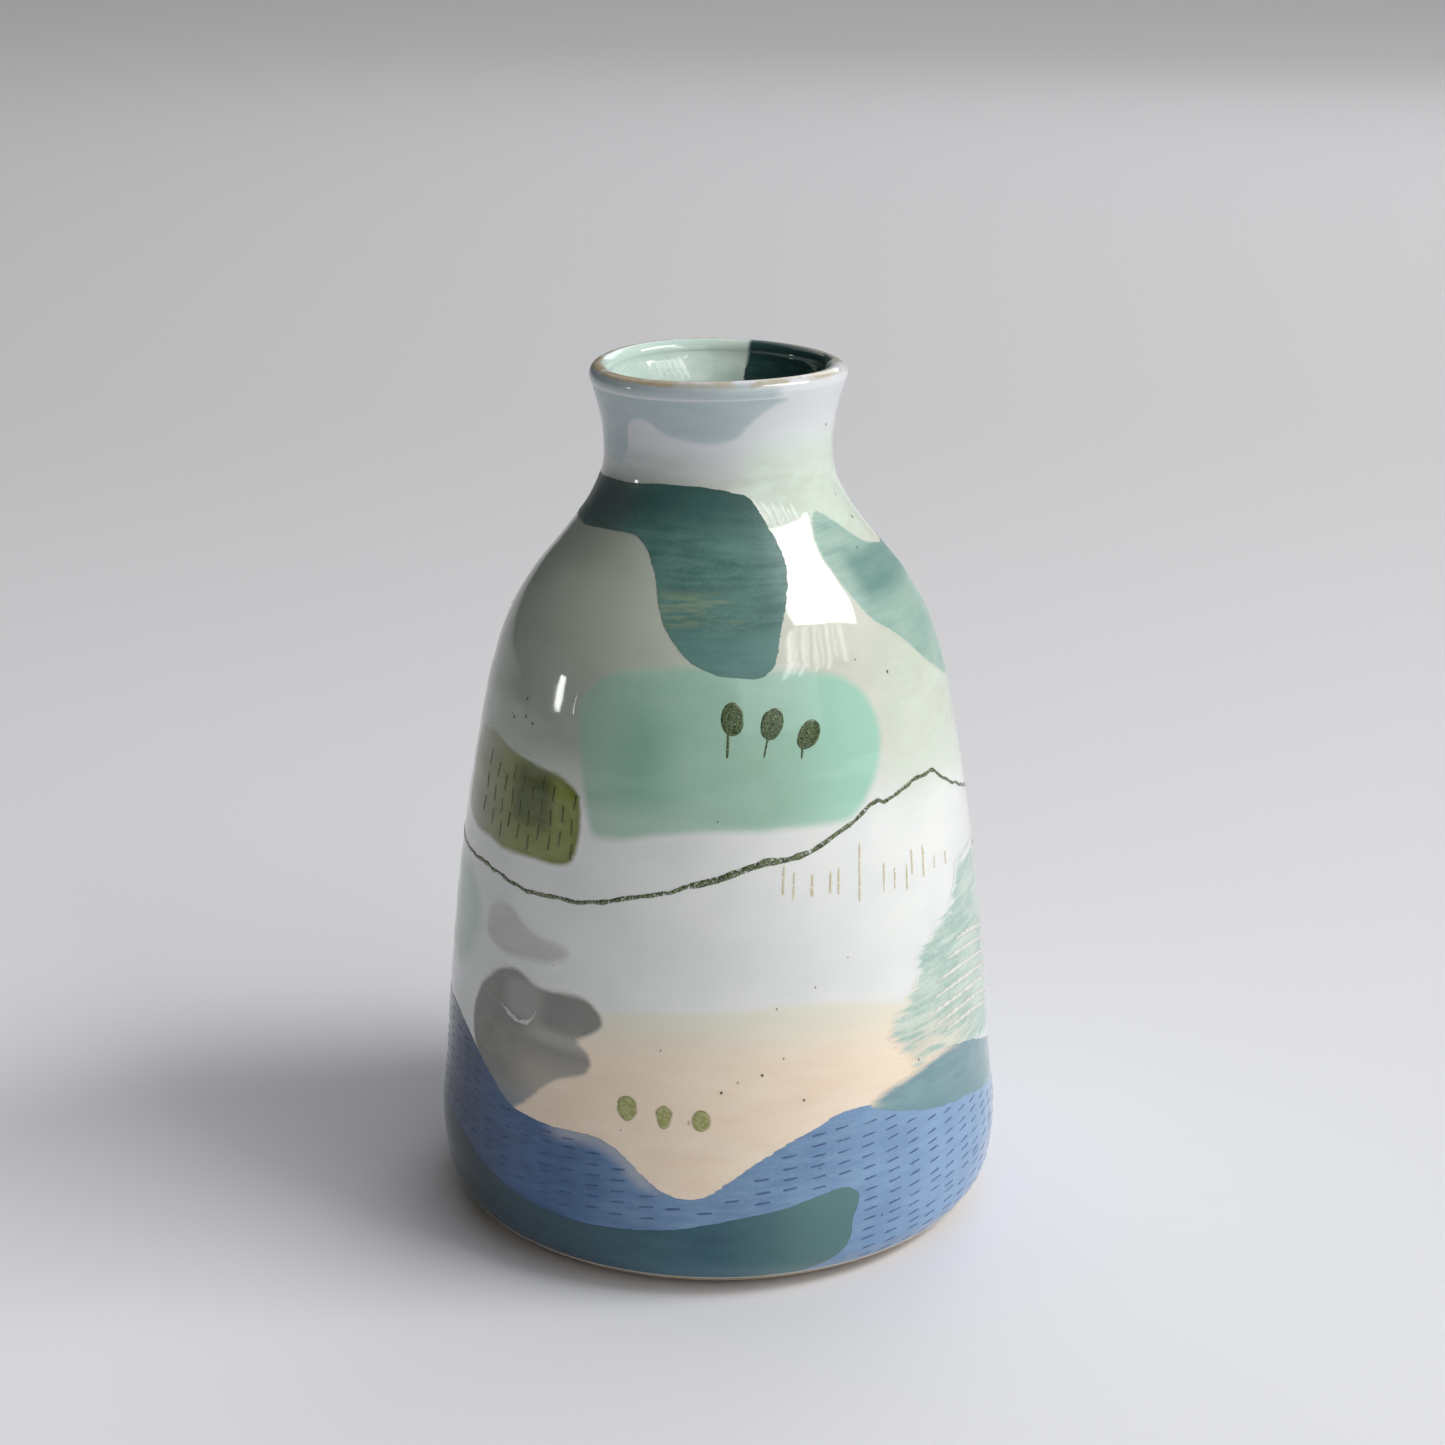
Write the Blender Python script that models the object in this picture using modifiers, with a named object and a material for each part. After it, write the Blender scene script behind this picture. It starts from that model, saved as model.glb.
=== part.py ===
"""Bud vase: a thrown clay body, painted with fields of coloured slip and coated with clear glaze.

The vase is built up in the order it is made. The clay body is turned. Each slip field is a thin
skin laid on the clay. A liner glaze coats the inside and an outer glaze coats the outside, and
the two meet on the crest of the lip. Every layer keeps a small gap to the next one.

Frame: +Z up, origin at the centre of the foot, on the surface that the vase stands on. Azimuths
are degrees about +Z, from the front (-Y) towards the right (+X). Sizes are in millimetres until
a mesh is made.
"""

import bpy
import numpy as np

METRES = 0.001

# Driving dimensions of the thrown shape.
HEIGHT = 114.0
FOOT_RADIUS = 32.5
BODY_RADIUS = 38.0
NECK_RADIUS = 14.75
LIP_RADIUS = 16.5
LIP_ROLL = 1.35
INSIDE_FLOOR = 6.0
FLOOR_CORNER = 8.0

# The turned foot: a ring to stand on around a shallow recess.
GLAZE_LINE = 2.4
RING_WIDTH = 6.0
RECESS_DEPTH = 1.6
RECESS_CHAMFER = 1.2

# Layers, and the gap between one layer and the next.
GLAZE = 0.3
SLIP = 0.25
GAP = 0.3
UNDER_SLIP = GLAZE + GAP + SLIP + GAP
UNDER_GLAZE = GLAZE + GAP

# The neck carries slip on its inside too, between these heights.
NECK_SLIP_TOP = 110.9
NECK_SLIP_FOOT = 102.0
NECK_BLEND = 4.0

# How finely the walls and the fields are divided. CHORD_ERROR is how far a straight chord between
# two rings may stray from the curved wall, so rings lie closer where the wall bends more.
STEPS_AROUND = 36
COLUMN_DEGREES = 6.0
CHORD_ERROR = 0.06
FIELD_ROWS = 3
FLOOR_POINTS = 5
LIP_POINTS = 4
FINE_STEP = 0.05

# The roll of the lip leaves the outer wall and the inner wall at these angles.
LIP_OUTSIDE = -13.0
LIP_CREST = 90.0
LIP_INSIDE = 190.0

# Stations of the outer wall, (height, radius), as a potter's rib would cut them.
OUTSIDE = (
    (0.0, FOOT_RADIUS),
    (1.2, 34.9),
    (3.4, 36.9),
    (8.0, BODY_RADIUS),
    (20.0, 37.3),
    (35.0, 36.1),
    (50.0, 34.3),
    (65.0, 31.8),
    (75.0, 29.6),
    (81.0, 27.5),
    (86.0, 24.6),
    (91.0, 20.6),
    (96.0, 16.9),
    (100.0, 15.1),
    (104.0, NECK_RADIUS),
    (108.0, 15.25),
    (HEIGHT - LIP_ROLL, LIP_RADIUS),
)

# Stations of the inner wall, from the top of the rounded floor corner to the lip.
INSIDE = (
    (INSIDE_FLOOR + FLOOR_CORNER, 33.0),
    (20.0, 33.3),
    (35.0, 32.3),
    (50.0, 30.6),
    (65.0, 28.2),
    (75.0, 26.0),
    (81.0, 23.6),
    (86.0, 20.4),
    (91.0, 16.3),
    (96.0, 13.1),
    (100.0, 11.7),
    (104.0, 11.4),
    (109.0, 12.2),
    (HEIGHT - LIP_ROLL, LIP_RADIUS - 2 * LIP_ROLL),
)

# Slip fields on the outside: name, colour, lower edge, upper edge. An edge is a list of
# (azimuth, height), and both edges of a field begin and end at the same azimuths.
OUTER_FIELDS = (
    (
        "slip_blue_sea",
        (0.16, 0.27, 0.50),
        ((-180, 3.6), (-122, 3.6), (-114, 7.6), (-106, 12.4), (-90, 14.8), (-75, 15.0), (-65, 14.4),
         (-50, 11.7), (-40, 10.3), (-30, 9.9), (-20, 10.1), (-10, 10.7), (0, 12.1), (10, 13.3),
         (20, 14.9), (26, 15.5), (30, 13.5), (32, 5.5), (36, 3.6), (180, 3.6)),
        ((-180, 20.4), (-150, 21.5), (-120, 25.5), (-95, 28.0), (-75, 28.4), (-66, 27.2),
         (-58, 24.6), (-50, 21.2), (-44, 20.3), (-38, 19.9), (-30, 20.1), (-22, 19.4), (-16, 16.6),
         (-10, 13.9), (-5, 13.3), (0, 14.8), (5, 17.1), (12, 19.9), (20, 22.4), (28, 23.7),
         (34, 22.9), (40, 21.9), (50, 19.9), (60, 18.8), (70, 17.4), (85, 15.3), (105, 14.0),
         (125, 16.0), (150, 20.0), (180, 20.4)),
    ),
    (
        "slip_green_shore",
        (0.08, 0.18, 0.19),
        ((-111, 3.6), (-60, 3.6), (0, 3.6), (25, 3.6), (28.5, 9.0)),
        ((-111, 5.5), (-104, 11.0), (-90, 13.8), (-75, 14.0), (-65, 13.4), (-50, 10.7), (-40, 9.3),
         (-30, 8.9), (-20, 9.1), (-10, 9.7), (0, 11.1), (10, 12.3), (20, 13.9), (25, 14.4),
         (28.5, 12.4)),
    ),
    (
        "slip_peach_sand",
        (0.72, 0.58, 0.45),
        ((-42, 21.3), (-38, 20.9), (-30, 21.1), (-22, 20.5), (-16, 17.8), (-10, 15.0), (-5, 14.2),
         (0, 15.9), (5, 18.1), (12, 20.9), (20, 23.4), (28, 25.0), (32, 26.2), (36, 26.9),
         (40, 27.4), (44, 28.4)),
        ((-42, 22.7), (-39, 24.2), (-36, 25.7), (-32, 26.8), (-28, 27.8), (-26, 29.5), (-24.6, 33.5),
         (-23, 37.0), (-15, 38.0), (-5, 38.7), (5, 39.2), (15, 39.3), (25, 38.8), (36, 37.8),
         (41, 36.8), (44, 35.2)),
    ),
    (
        "slip_grey_rock",
        (0.24, 0.24, 0.23),
        ((-61.5, 29.2), (-58, 26.2), (-54, 24.3), (-50, 22.5), (-46, 21.8), (-44, 22.3), (-42, 23.7),
         (-39, 25.2), (-36, 26.7), (-32, 27.8), (-28, 28.9), (-26.6, 31.0), (-25.4, 35.4)),
        ((-61.5, 31.2), (-60, 34.4), (-55, 37.6), (-51, 39.5), (-47, 40.3), (-43, 39.7), (-39, 39.0),
         (-33, 39.2), (-28, 38.9), (-25.4, 37.4)),
    ),
    (
        "slip_grey_cloud",
        (0.50, 0.51, 0.50),
        ((-59, 43.2), (-54, 42.1), (-46, 41.8), (-42, 42.3), (-38, 42.9), (-33, 43.9)),
        ((-59, 45.4), (-55, 47.8), (-50, 48.3), (-45, 46.7), (-40, 45.5), (-33, 44.8)),
    ),
    (
        "slip_olive_field",
        (0.13, 0.15, 0.05),
        ((-80, 57.0), (-75, 55.7), (-66, 55.0), (-45, 54.8), (-36, 55.1), (-33, 56.0), (-31.5, 58.0)),
        ((-80, 66.5), (-75, 68.0), (-66, 68.2), (-58, 67.6), (-45, 66.6), (-38, 66.1), (-34, 65.3),
         (-31.5, 63.0)),
    ),
    (
        "slip_mint_panel",
        (0.36, 0.60, 0.49),
        ((-35, 73.0), (-32, 66.0), (-29, 61.2), (-25, 59.8), (-20, 60.2), (-12, 61.2), (0, 61.9),
         (28, 61.9), (33, 62.8), (37, 65.0), (40, 68.0), (41.5, 70.5)),
        ((-35, 76.0), (-32, 78.0), (-26, 79.4), (-15, 79.8), (-8, 79.8), (0, 79.2), (8, 78.8),
         (15, 79.0), (22, 79.5), (30, 79.2), (35, 78.2), (39, 76.0), (41.5, 72.5)),
    ),
    (
        "slip_teal_shoulder",
        (0.07, 0.17, 0.16),
        ((-125, 96.2), (-118, 94.9), (-85, 94.2), (-60, 94.4), (-45, 94.8), (-36, 94.9), (-31, 94.2),
         (-26, 92.9), (-22, 90.8), (-19, 88.5), (-16, 86.0), (-12, 84.0), (-8, 82.2), (-4, 81.1),
         (0, 80.5), (5, 80.1), (10, 80.0), (13, 80.6), (15.5, 82.5), (17.5, 84.8), (20, 87.0),
         (22.5, 90.0), (24.5, 92.3)),
        ((-125, 97.8), (-118, 99.2), (-85, 99.6), (-50, 100.3), (-30, 100.8), (-15, 100.9),
         (0, 100.5), (10, 100.0), (16, 99.0), (20, 97.0), (22.5, 95.3), (24.5, 93.5)),
    ),
    (
        "slip_teal_headland",
        (0.13, 0.26, 0.24),
        ((41, 91.8), (43, 89.8), (45.5, 87.0), (48, 84.8), (52, 83.3), (58, 81.4), (64, 79.0),
         (70, 76.7), (76, 74.9), (84, 73.2), (95, 72.0), (108, 73.0), (120, 77.0), (130, 83.5)),
        ((41, 93.4), (44, 95.4), (48, 96.8), (53, 96.2), (58, 95.1), (64, 93.5), (70, 92.0),
         (78, 91.0), (90, 90.2), (105, 90.0), (120, 89.0), (130, 86.5)),
    ),
    (
        "slip_lip_blue_grey",
        (0.32, 0.40, 0.43),
        ((-130, 108.0), (-120, 104.2), (-100, 102.8), (-65, 102.6), (-55, 103.1), (-50, 104.4),
         (-47, 106.6), (-44, 108.3), (-38, 108.8), (-33, 108.4), (-28, 107.4), (-20, 106.6),
         (0, 106.1), (7, 106.5), (12, 107.5), (17, 108.6), (22, 109.2), (28, 109.6), (36, 109.9)),
        ((-130, 110.0), (-124, 110.6), (28, 110.6), (36, 110.5)),
    ),
    (
        "slip_mint_cliff",
        (0.42, 0.56, 0.50),
        ((45.5, 34.2), (47.5, 29.4), (54, 29.2), (60, 28.8), (70, 26.8), (85, 23.8), (100, 22.4),
         (115, 24.0), (125, 30.0)),
        ((45.5, 37.0), (47.5, 43.4), (52, 44.2), (57, 44.3), (60, 45.6), (63, 48.2), (67, 50.2),
         (75, 50.7), (90, 49.0), (105, 46.0), (118, 41.0), (125, 35.0)),
    ),
    (
        "slip_teal_inlet",
        (0.19, 0.30, 0.34),
        ((33, 24.4), (37, 23.4), (40, 22.9), (50, 20.9), (60, 19.8), (70, 18.4), (85, 16.4),
         (98, 15.4)),
        ((33, 25.2), (36, 25.9), (40, 26.3), (45, 27.2), (50, 27.8), (57, 27.5), (63, 26.3),
         (70, 24.8), (85, 21.4), (98, 17.5)),
    ),
    (
        "slip_mint_meadow",
        (0.42, 0.53, 0.46),
        ((-112, 40.0), (-100, 36.0), (-85, 34.5), (-72, 35.4), (-66, 38.0), (-62.5, 42.0)),
        ((-112, 43.0), (-100, 48.0), (-85, 49.8), (-72, 49.5), (-66, 48.0), (-62.5, 45.0)),
    ),
    (
        "slip_back_sand",
        (0.72, 0.58, 0.45),
        ((168, 22.0), (180, 21.4), (210, 22.6), (240, 26.6), (250, 28.2)),
        ((168, 25.5), (180, 32.0), (200, 36.0), (225, 35.5), (240, 33.5), (250, 30.5)),
    ),
    (
        "slip_back_field",
        (0.13, 0.15, 0.05),
        ((135, 56.5), (139, 54.0), (155, 53.0), (163, 54.5), (166, 57.5)),
        ((135, 61.5), (139, 64.5), (155, 66.0), (163, 65.0), (166, 61.5)),
    ),
    (
        "slip_back_panel",
        (0.36, 0.60, 0.49),
        ((176, 67.0), (180, 62.0), (200, 60.0), (228, 61.0), (234, 67.0)),
        ((176, 72.0), (180, 77.0), (200, 79.0), (228, 77.5), (234, 72.0)),
    ),
)

# Slip fields on the inside of the neck, in the same form.
INNER_FIELDS = (
    (
        "slip_inside_teal",
        (0.03, 0.08, 0.08),
        ((97, 105.0), (104, 103.6), (140, 103.4), (158, 103.8), (163, 105.0)),
        ((97, 109.6), (104, 110.5), (158, 110.5), (163, 110.2)),
    ),
    (
        "slip_inside_mint",
        (0.55, 0.70, 0.65),
        ((167, 107.4), (200, 106.8), (240, 105.2), (285, 104.6), (292, 106.0)),
        ((167, 110.2), (172, 110.5), (285, 110.5), (292, 109.8)),
    ),
)

CLAY_COLOUR = (0.62, 0.52, 0.42)
GLAZE_COLOUR = (0.86, 0.89, 0.87)


def along(stations, places):
    """Values on a smooth curve through the stations: cubic pieces that share their end slopes."""
    x, y = np.array(stations, float).T
    slope = np.gradient(y, x)
    places = np.asarray(places, float)
    piece = np.clip(np.searchsorted(x, places, side="right") - 1, 0, len(x) - 2)
    span = x[piece + 1] - x[piece]
    t = (places - x[piece]) / span
    return (
        y[piece] * (1 + 2 * t) * (1 - t) ** 2
        + y[piece + 1] * (3 - 2 * t) * t**2
        + slope[piece] * span * t * (1 - t) ** 2
        - slope[piece + 1] * span * t**2 * (1 - t)
    )


def straight(stations, places):
    """Values on straight lines from one station to the next."""
    x, y = np.array(stations, float).T
    return np.interp(places, x, y)


def slope(stations, heights):
    """How fast a wall's radius grows with height."""
    above = along(stations, heights + FINE_STEP)
    below = along(stations, heights - FINE_STEP)
    return (above - below) / (2 * FINE_STEP)


def wall(stations, heights, outward):
    """Points (radius, height) of a wall at these heights, moved outward along its normal."""
    heights = np.asarray(heights, float)
    lean = slope(stations, heights)
    length = np.sqrt(1 + lean**2)
    outward = np.broadcast_to(outward, heights.shape)
    radii = along(stations, heights) + outward / length
    return np.stack([radii, heights - outward * lean / length], axis=-1)


def chords(stations):
    """Heights up a wall, and how many chords of the allowed error reach each of them.

    A chord of length s across a bend of curvature k strays from it by k s^2 / 8.
    """
    heights = np.arange(stations[0][0], stations[-1][0], FINE_STEP)
    lean = np.arctan(slope(stations, heights))
    travel = FINE_STEP / np.cos(lean)
    return heights, np.cumsum(np.sqrt(abs(np.gradient(lean)) * travel / (8 * CHORD_ERROR)))


def levels(stations, low, high, fewest=2):
    """Rows of heights between two edges, closer together where the wall bends more."""
    heights, count = chords(stations)
    first = np.interp(low, heights, count)
    last = np.interp(high, heights, count)
    rows = max(fewest, int(np.ceil(np.max(last - first))) + 1)
    return np.interp(np.linspace(first, last, rows), count, heights)


def lip_arc(radius, start, end, count):
    """Points round the lip's roll, from one angle to another, 90 degrees being its crest."""
    angles = np.radians(np.linspace(start, end, count))
    centre = np.array([LIP_RADIUS - LIP_ROLL, HEIGHT - LIP_ROLL])
    return centre + radius * np.stack([np.cos(angles), np.sin(angles)], axis=-1)


def floor_arc(outward, count):
    """Points round the inner floor corner, from the floor up to the wall."""
    angles = np.radians(np.linspace(-90, 0, count))
    centre = np.array([INSIDE[0][1] - FLOOR_CORNER, INSIDE_FLOOR + FLOOR_CORNER])
    return centre + (FLOOR_CORNER + outward) * np.stack([np.cos(angles), np.sin(angles)], axis=-1)


def material(name, colour, roughness, alpha=1.0):
    """A Principled material of one colour."""
    made = bpy.data.materials.new(name)
    made.use_nodes = True
    shader = made.node_tree.nodes["Principled BSDF"]
    shader.inputs["Base Color"].default_value = (*colour, 1.0)
    shader.inputs["Roughness"].default_value = roughness
    shader.inputs["Metallic"].default_value = 0.0
    shader.inputs["Alpha"].default_value = alpha
    return made


def place(name, mesh, look):
    """One named object in the vase's collection, shaded smooth across its gentle bends."""
    mesh.materials.append(look)
    made = bpy.data.objects.new(name, mesh)
    parts.objects.link(made)
    mesh.shade_smooth()
    mesh.set_sharp_from_angle(angle=np.radians(40))
    return made


def turned(name, profile, closed, look):
    """A solid of revolution: the profile, run down its outer side, under a Screw modifier."""
    points = [(radius * METRES, 0.0, height * METRES) for radius, height in profile]
    edges = [(i, i + 1) for i in range(len(points) - 1)]
    if closed:
        edges.append((len(points) - 1, 0))
    mesh = bpy.data.meshes.new(name)
    mesh.from_pydata(points, edges, [])
    made = place(name, mesh, look)
    screw = made.modifiers.new("Turn", "SCREW")
    screw.axis = "Z"
    screw.steps = STEPS_AROUND
    screw.render_steps = STEPS_AROUND
    screw.use_merge_vertices = True
    screw.merge_threshold = 0.00001
    screw.use_smooth_shade = True
    return made


def field_columns(low, high):
    """Azimuths of a field's columns: every station of either edge, and more between far ones."""
    stations = sorted({azimuth for azimuth, _ in (*low, *high)})
    columns = [stations[0]]
    for azimuth in stations[1:]:
        gap = azimuth - columns[-1]
        if gap < COLUMN_DEGREES / 3 and azimuth != stations[-1]:
            continue
        pieces = max(1, int(np.ceil(gap / COLUMN_DEGREES)))
        columns.extend(columns[-1] + gap * np.arange(1, pieces + 1) / pieces)
    return np.array(columns)


def painted(name, colour, low, high, stations, outward, facing):
    """A slip field: a grid from its lower edge to its upper edge on the wall, made solid.

    facing is 1 on the outside of the vase, and -1 on the inside, where the skin faces the axis.
    """
    columns = field_columns(low, high)
    bottom = straight(low, columns)
    top = straight(high, columns)
    profile = wall(stations, levels(stations, bottom, top, FIELD_ROWS), outward)
    turn = np.radians(columns)
    across = profile[..., 0]
    grid = np.stack([across * np.sin(turn), -across * np.cos(turn), profile[..., 1]], axis=-1)
    ring = abs(columns[-1] - columns[0] - 360) < 1e-6
    if ring:
        grid = grid[:, :-1]
    rows, wide = grid.shape[:2]
    faces = []
    for row in range(rows - 1):
        for column in range(wide if ring else wide - 1):
            after = (column + 1) % wide
            face = (row * wide + column, row * wide + after)
            face += ((row + 1) * wide + after, (row + 1) * wide + column)
            faces.append(face[::facing])
    mesh = bpy.data.meshes.new(name)
    mesh.from_pydata(grid.reshape(-1, 3) * METRES, [], faces)
    made = place(name, mesh, material(name, colour, 0.5))
    skin = made.modifiers.new("Thickness", "SOLIDIFY")
    skin.thickness = SLIP * METRES
    skin.offset = -1.0
    skin.use_even_offset = True
    return made


def clay_inset(heights):
    """Depth of the clay under the inner surface: more where the neck's inner slip lies."""
    blend = np.clip((heights - (NECK_SLIP_FOOT - NECK_BLEND)) / NECK_BLEND, 0, 1)
    return UNDER_GLAZE + (UNDER_SLIP - UNDER_GLAZE) * blend


def clay_body():
    """The thrown wall and floor, with the lip's roll at the top and the turned foot below."""
    inner_heights = levels(INSIDE, INSIDE[0][0], NECK_SLIP_TOP)
    inner = wall(INSIDE, inner_heights, clay_inset(inner_heights))
    outer = wall(OUTSIDE, levels(OUTSIDE, GLAZE_LINE + GAP, NECK_SLIP_TOP), -UNDER_SLIP)[::-1]
    floor = floor_arc(UNDER_GLAZE, FLOOR_POINTS)
    lip = lip_arc(LIP_ROLL - UNDER_GLAZE, LIP_INSIDE, LIP_OUTSIDE, 2 * LIP_POINTS - 1)
    skirt = wall(OUTSIDE, [GLAZE_LINE, GLAZE_LINE / 2], 0.0)
    ring_inside = FOOT_RADIUS - RING_WIDTH
    profile = [
        (0.0, INSIDE_FLOOR - UNDER_GLAZE),
        *floor,
        *inner[1:],
        *lip,
        *outer[:-1],
        (outer[-1][0], GLAZE_LINE),
        *skirt,
        (FOOT_RADIUS, 0.0),
        (ring_inside, 0.0),
        (ring_inside - RECESS_CHAMFER, RECESS_DEPTH),
        (0.0, RECESS_DEPTH),
    ]
    return turned("clay_body", profile, False, material("fired_clay", CLAY_COLOUR, 0.85))


def outer_glaze(look):
    """The clear coat on the outside, from the glaze line above the foot to the crest of the lip."""
    heights = levels(OUTSIDE, GLAZE_LINE + GAP, NECK_SLIP_TOP)
    crest = LIP_CREST - np.degrees(GAP / 2 / LIP_ROLL)
    under = wall(OUTSIDE, heights, -GLAZE)
    over = wall(OUTSIDE, heights, 0.0)[::-1]
    profile = [
        *under,
        *lip_arc(LIP_ROLL - GLAZE, LIP_OUTSIDE, crest, LIP_POINTS),
        *lip_arc(LIP_ROLL, crest, LIP_OUTSIDE, LIP_POINTS),
        *over,
    ]
    return turned("outer_glaze", profile, True, look)


def liner_glaze(look):
    """The clear coat poured inside, over the floor and up to the crest of the lip."""
    heights = levels(INSIDE, INSIDE[0][0], NECK_SLIP_TOP)
    crest = LIP_CREST + np.degrees(GAP / 2 / LIP_ROLL)
    near = wall(INSIDE, heights, 0.0)
    far = wall(INSIDE, heights, GLAZE)[::-1]
    profile = [
        (0.0, INSIDE_FLOOR),
        *floor_arc(0.0, FLOOR_POINTS),
        *near[1:],
        *lip_arc(LIP_ROLL, LIP_INSIDE, crest, LIP_POINTS),
        *lip_arc(LIP_ROLL - GLAZE, crest, LIP_INSIDE, LIP_POINTS),
        *far[:-1],
        *floor_arc(GLAZE, FLOOR_POINTS)[::-1],
        (0.0, INSIDE_FLOOR - GLAZE),
    ]
    return turned("liner_glaze", profile, False, look)


for thing in list(bpy.data.objects):
    bpy.data.objects.remove(thing)

parts = bpy.data.collections.new("bud_vase")
bpy.context.scene.collection.children.link(parts)

clay_body()
for name, colour, low, high in OUTER_FIELDS:
    painted(name, colour, low, high, OUTSIDE, -UNDER_GLAZE, 1)
for name, colour, low, high in INNER_FIELDS:
    painted(name, colour, low, high, INSIDE, UNDER_GLAZE, -1)
clear = material("clear_glaze", GLAZE_COLOUR, 0.08, alpha=0.35)
liner_glaze(clear)
outer_glaze(clear)
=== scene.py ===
# %% [markdown]
# # A painted bud vase
#
# This small vase was thrown on a wheel, painted with coloured slips, drawn on with an underglaze
# pencil and dipped in a clear gloss glaze. The imported model holds its clay, its slips and its
# glaze coats as plain solids. Here each layer is made again as a fine surface on the same wall.
#
# The imported model comes first, because the vase's height below is read from it.

# %% Load the imported vase
import bpy
import numpy as np
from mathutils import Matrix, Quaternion, Vector


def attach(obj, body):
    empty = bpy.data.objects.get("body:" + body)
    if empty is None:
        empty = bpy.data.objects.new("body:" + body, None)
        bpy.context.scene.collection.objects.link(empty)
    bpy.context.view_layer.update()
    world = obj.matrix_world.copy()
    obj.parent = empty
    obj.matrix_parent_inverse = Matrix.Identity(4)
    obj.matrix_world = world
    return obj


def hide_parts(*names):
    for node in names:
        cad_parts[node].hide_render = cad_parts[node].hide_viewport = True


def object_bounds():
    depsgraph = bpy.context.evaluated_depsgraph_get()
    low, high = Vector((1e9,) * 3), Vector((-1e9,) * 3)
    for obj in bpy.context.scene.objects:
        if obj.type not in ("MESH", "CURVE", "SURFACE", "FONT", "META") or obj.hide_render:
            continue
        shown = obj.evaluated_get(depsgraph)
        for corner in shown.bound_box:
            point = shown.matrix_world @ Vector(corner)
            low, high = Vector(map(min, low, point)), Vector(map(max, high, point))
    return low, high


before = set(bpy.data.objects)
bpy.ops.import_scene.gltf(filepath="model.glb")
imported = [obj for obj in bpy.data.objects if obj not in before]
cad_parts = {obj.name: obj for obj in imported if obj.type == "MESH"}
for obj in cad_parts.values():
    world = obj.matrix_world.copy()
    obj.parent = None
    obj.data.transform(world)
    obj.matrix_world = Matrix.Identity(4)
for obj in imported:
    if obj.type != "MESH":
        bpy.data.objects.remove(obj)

MM = 0.001
cad_low, cad_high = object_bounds()
TALL = (cad_high.z - cad_low.z) / MM
print(f"the vase is {TALL:.1f} mm tall, with {len(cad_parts)} nodes")

# %% [markdown]
# ## The camera
#
# The vase is seen from a little above its lip. A short lens near by would splay its sides, so a
# longer one stands a forearm's length away, which keeps the wall upright and shows the mouth.

# %% Camera
LENS = 67.3
SENSOR = 36.0
CAMERA_PLACE = Vector((0.0006, -0.3425, 0.1777))
CAMERA_PITCH = 18.18


def put(name, data, place, towards, roll=0.0):
    """Adds an object at a place, its own -Z axis towards a point, and rolled about that axis."""
    made = bpy.data.objects.new(name, data)
    bpy.context.scene.collection.objects.link(made)
    made.location = place
    turned_there = (Vector(towards) - Vector(place)).to_track_quat("-Z", "Y")
    made.rotation_euler = (turned_there @ Quaternion((0, 0, 1), roll)).to_euler()
    return made


camera_data = bpy.data.cameras.new("camera")
camera_data.lens = LENS
camera_data.sensor_width = SENSOR
ahead = Vector((0.0, np.cos(np.radians(CAMERA_PITCH)), -np.sin(np.radians(CAMERA_PITCH))))
camera = put("camera", camera_data, CAMERA_PLACE, CAMERA_PLACE + ahead)
bpy.context.scene.camera = camera
bpy.context.scene.view_settings.view_transform = "Standard"
print(f"the camera stands {-camera.location.y * 1000:.0f} mm in front of the axis")

# %% [markdown]
# ## Shader sums
#
# Shader maths reads best as sums. This class wraps one socket, and each operator on it adds the
# Math node that does the sum, so a mask can be written as an ordinary expression. The same nodes
# could be added by hand, one call each, but then the sum they make would be lost in the wiring.

# %% A socket that can be added and multiplied


class Wire:
    """A socket of a node tree. Operators on it add Math nodes, and `node` adds any other node."""

    def __init__(self, tree, socket=None):
        self.tree = tree
        self.socket = socket

    def node(self, kind, settings=None, sockets=None, out=0):
        """Adds a node: its settings are set first, then each socket gets its value or its link."""
        made = self.tree.nodes.new("ShaderNode" + kind)
        for key, value in (settings or {}).items():
            setattr(made, key, value)
        for key, value in (sockets or {}).items():
            if isinstance(value, Wire):
                self.tree.links.new(value.socket, made.inputs[key])
            else:
                made.inputs[key].default_value = value
        return Wire(self.tree, made.outputs[out])

    def math(self, operation, *terms):
        return self.node("Math", {"operation": operation}, dict(enumerate(terms)))

    def __add__(self, other):
        return self.math("ADD", self, other)

    def __radd__(self, other):
        return self.math("ADD", other, self)

    def __sub__(self, other):
        return self.math("SUBTRACT", self, other)

    def __rsub__(self, other):
        return self.math("SUBTRACT", other, self)

    def __mul__(self, other):
        return self.math("MULTIPLY", self, other)

    def __rmul__(self, other):
        return self.math("MULTIPLY", other, self)

    def step(self, low, high):
        """0 below `low`, 1 above `high` and a smooth rise between; low may be above high."""
        settings = {"interpolation_type": "SMOOTHSTEP"}
        ends = {"Value": self, "From Min": min(low, high), "From Max": max(low, high)}
        rise = self.node("MapRange", settings, ends)
        return rise if low < high else 1 - rise

    def between(self, low, high, soft):
        """1 between two values and 0 outside them, with soft ends."""
        return self.step(low - soft, low + soft) * self.step(high + soft, high - soft)

    def tint(self, first, second):
        """A colour that goes from the first to the second as this wire goes from 0 to 1."""
        settings = {"data_type": "RGBA", "clamp_factor": True}
        return self.node("Mix", settings, {0: self, 6: first, 7: second}, out=2)


def colour(red, green, blue):
    """A linear colour from the 0 to 255 values of a paint chart."""
    chart = np.array((red, green, blue)) / 255
    linear = np.where(chart < 0.04045, chart / 12.92, ((chart + 0.055) / 1.055) ** 2.4)
    return (*linear.tolist(), 1.0)


print("mid grey paint is", colour(128, 128, 128))
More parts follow.
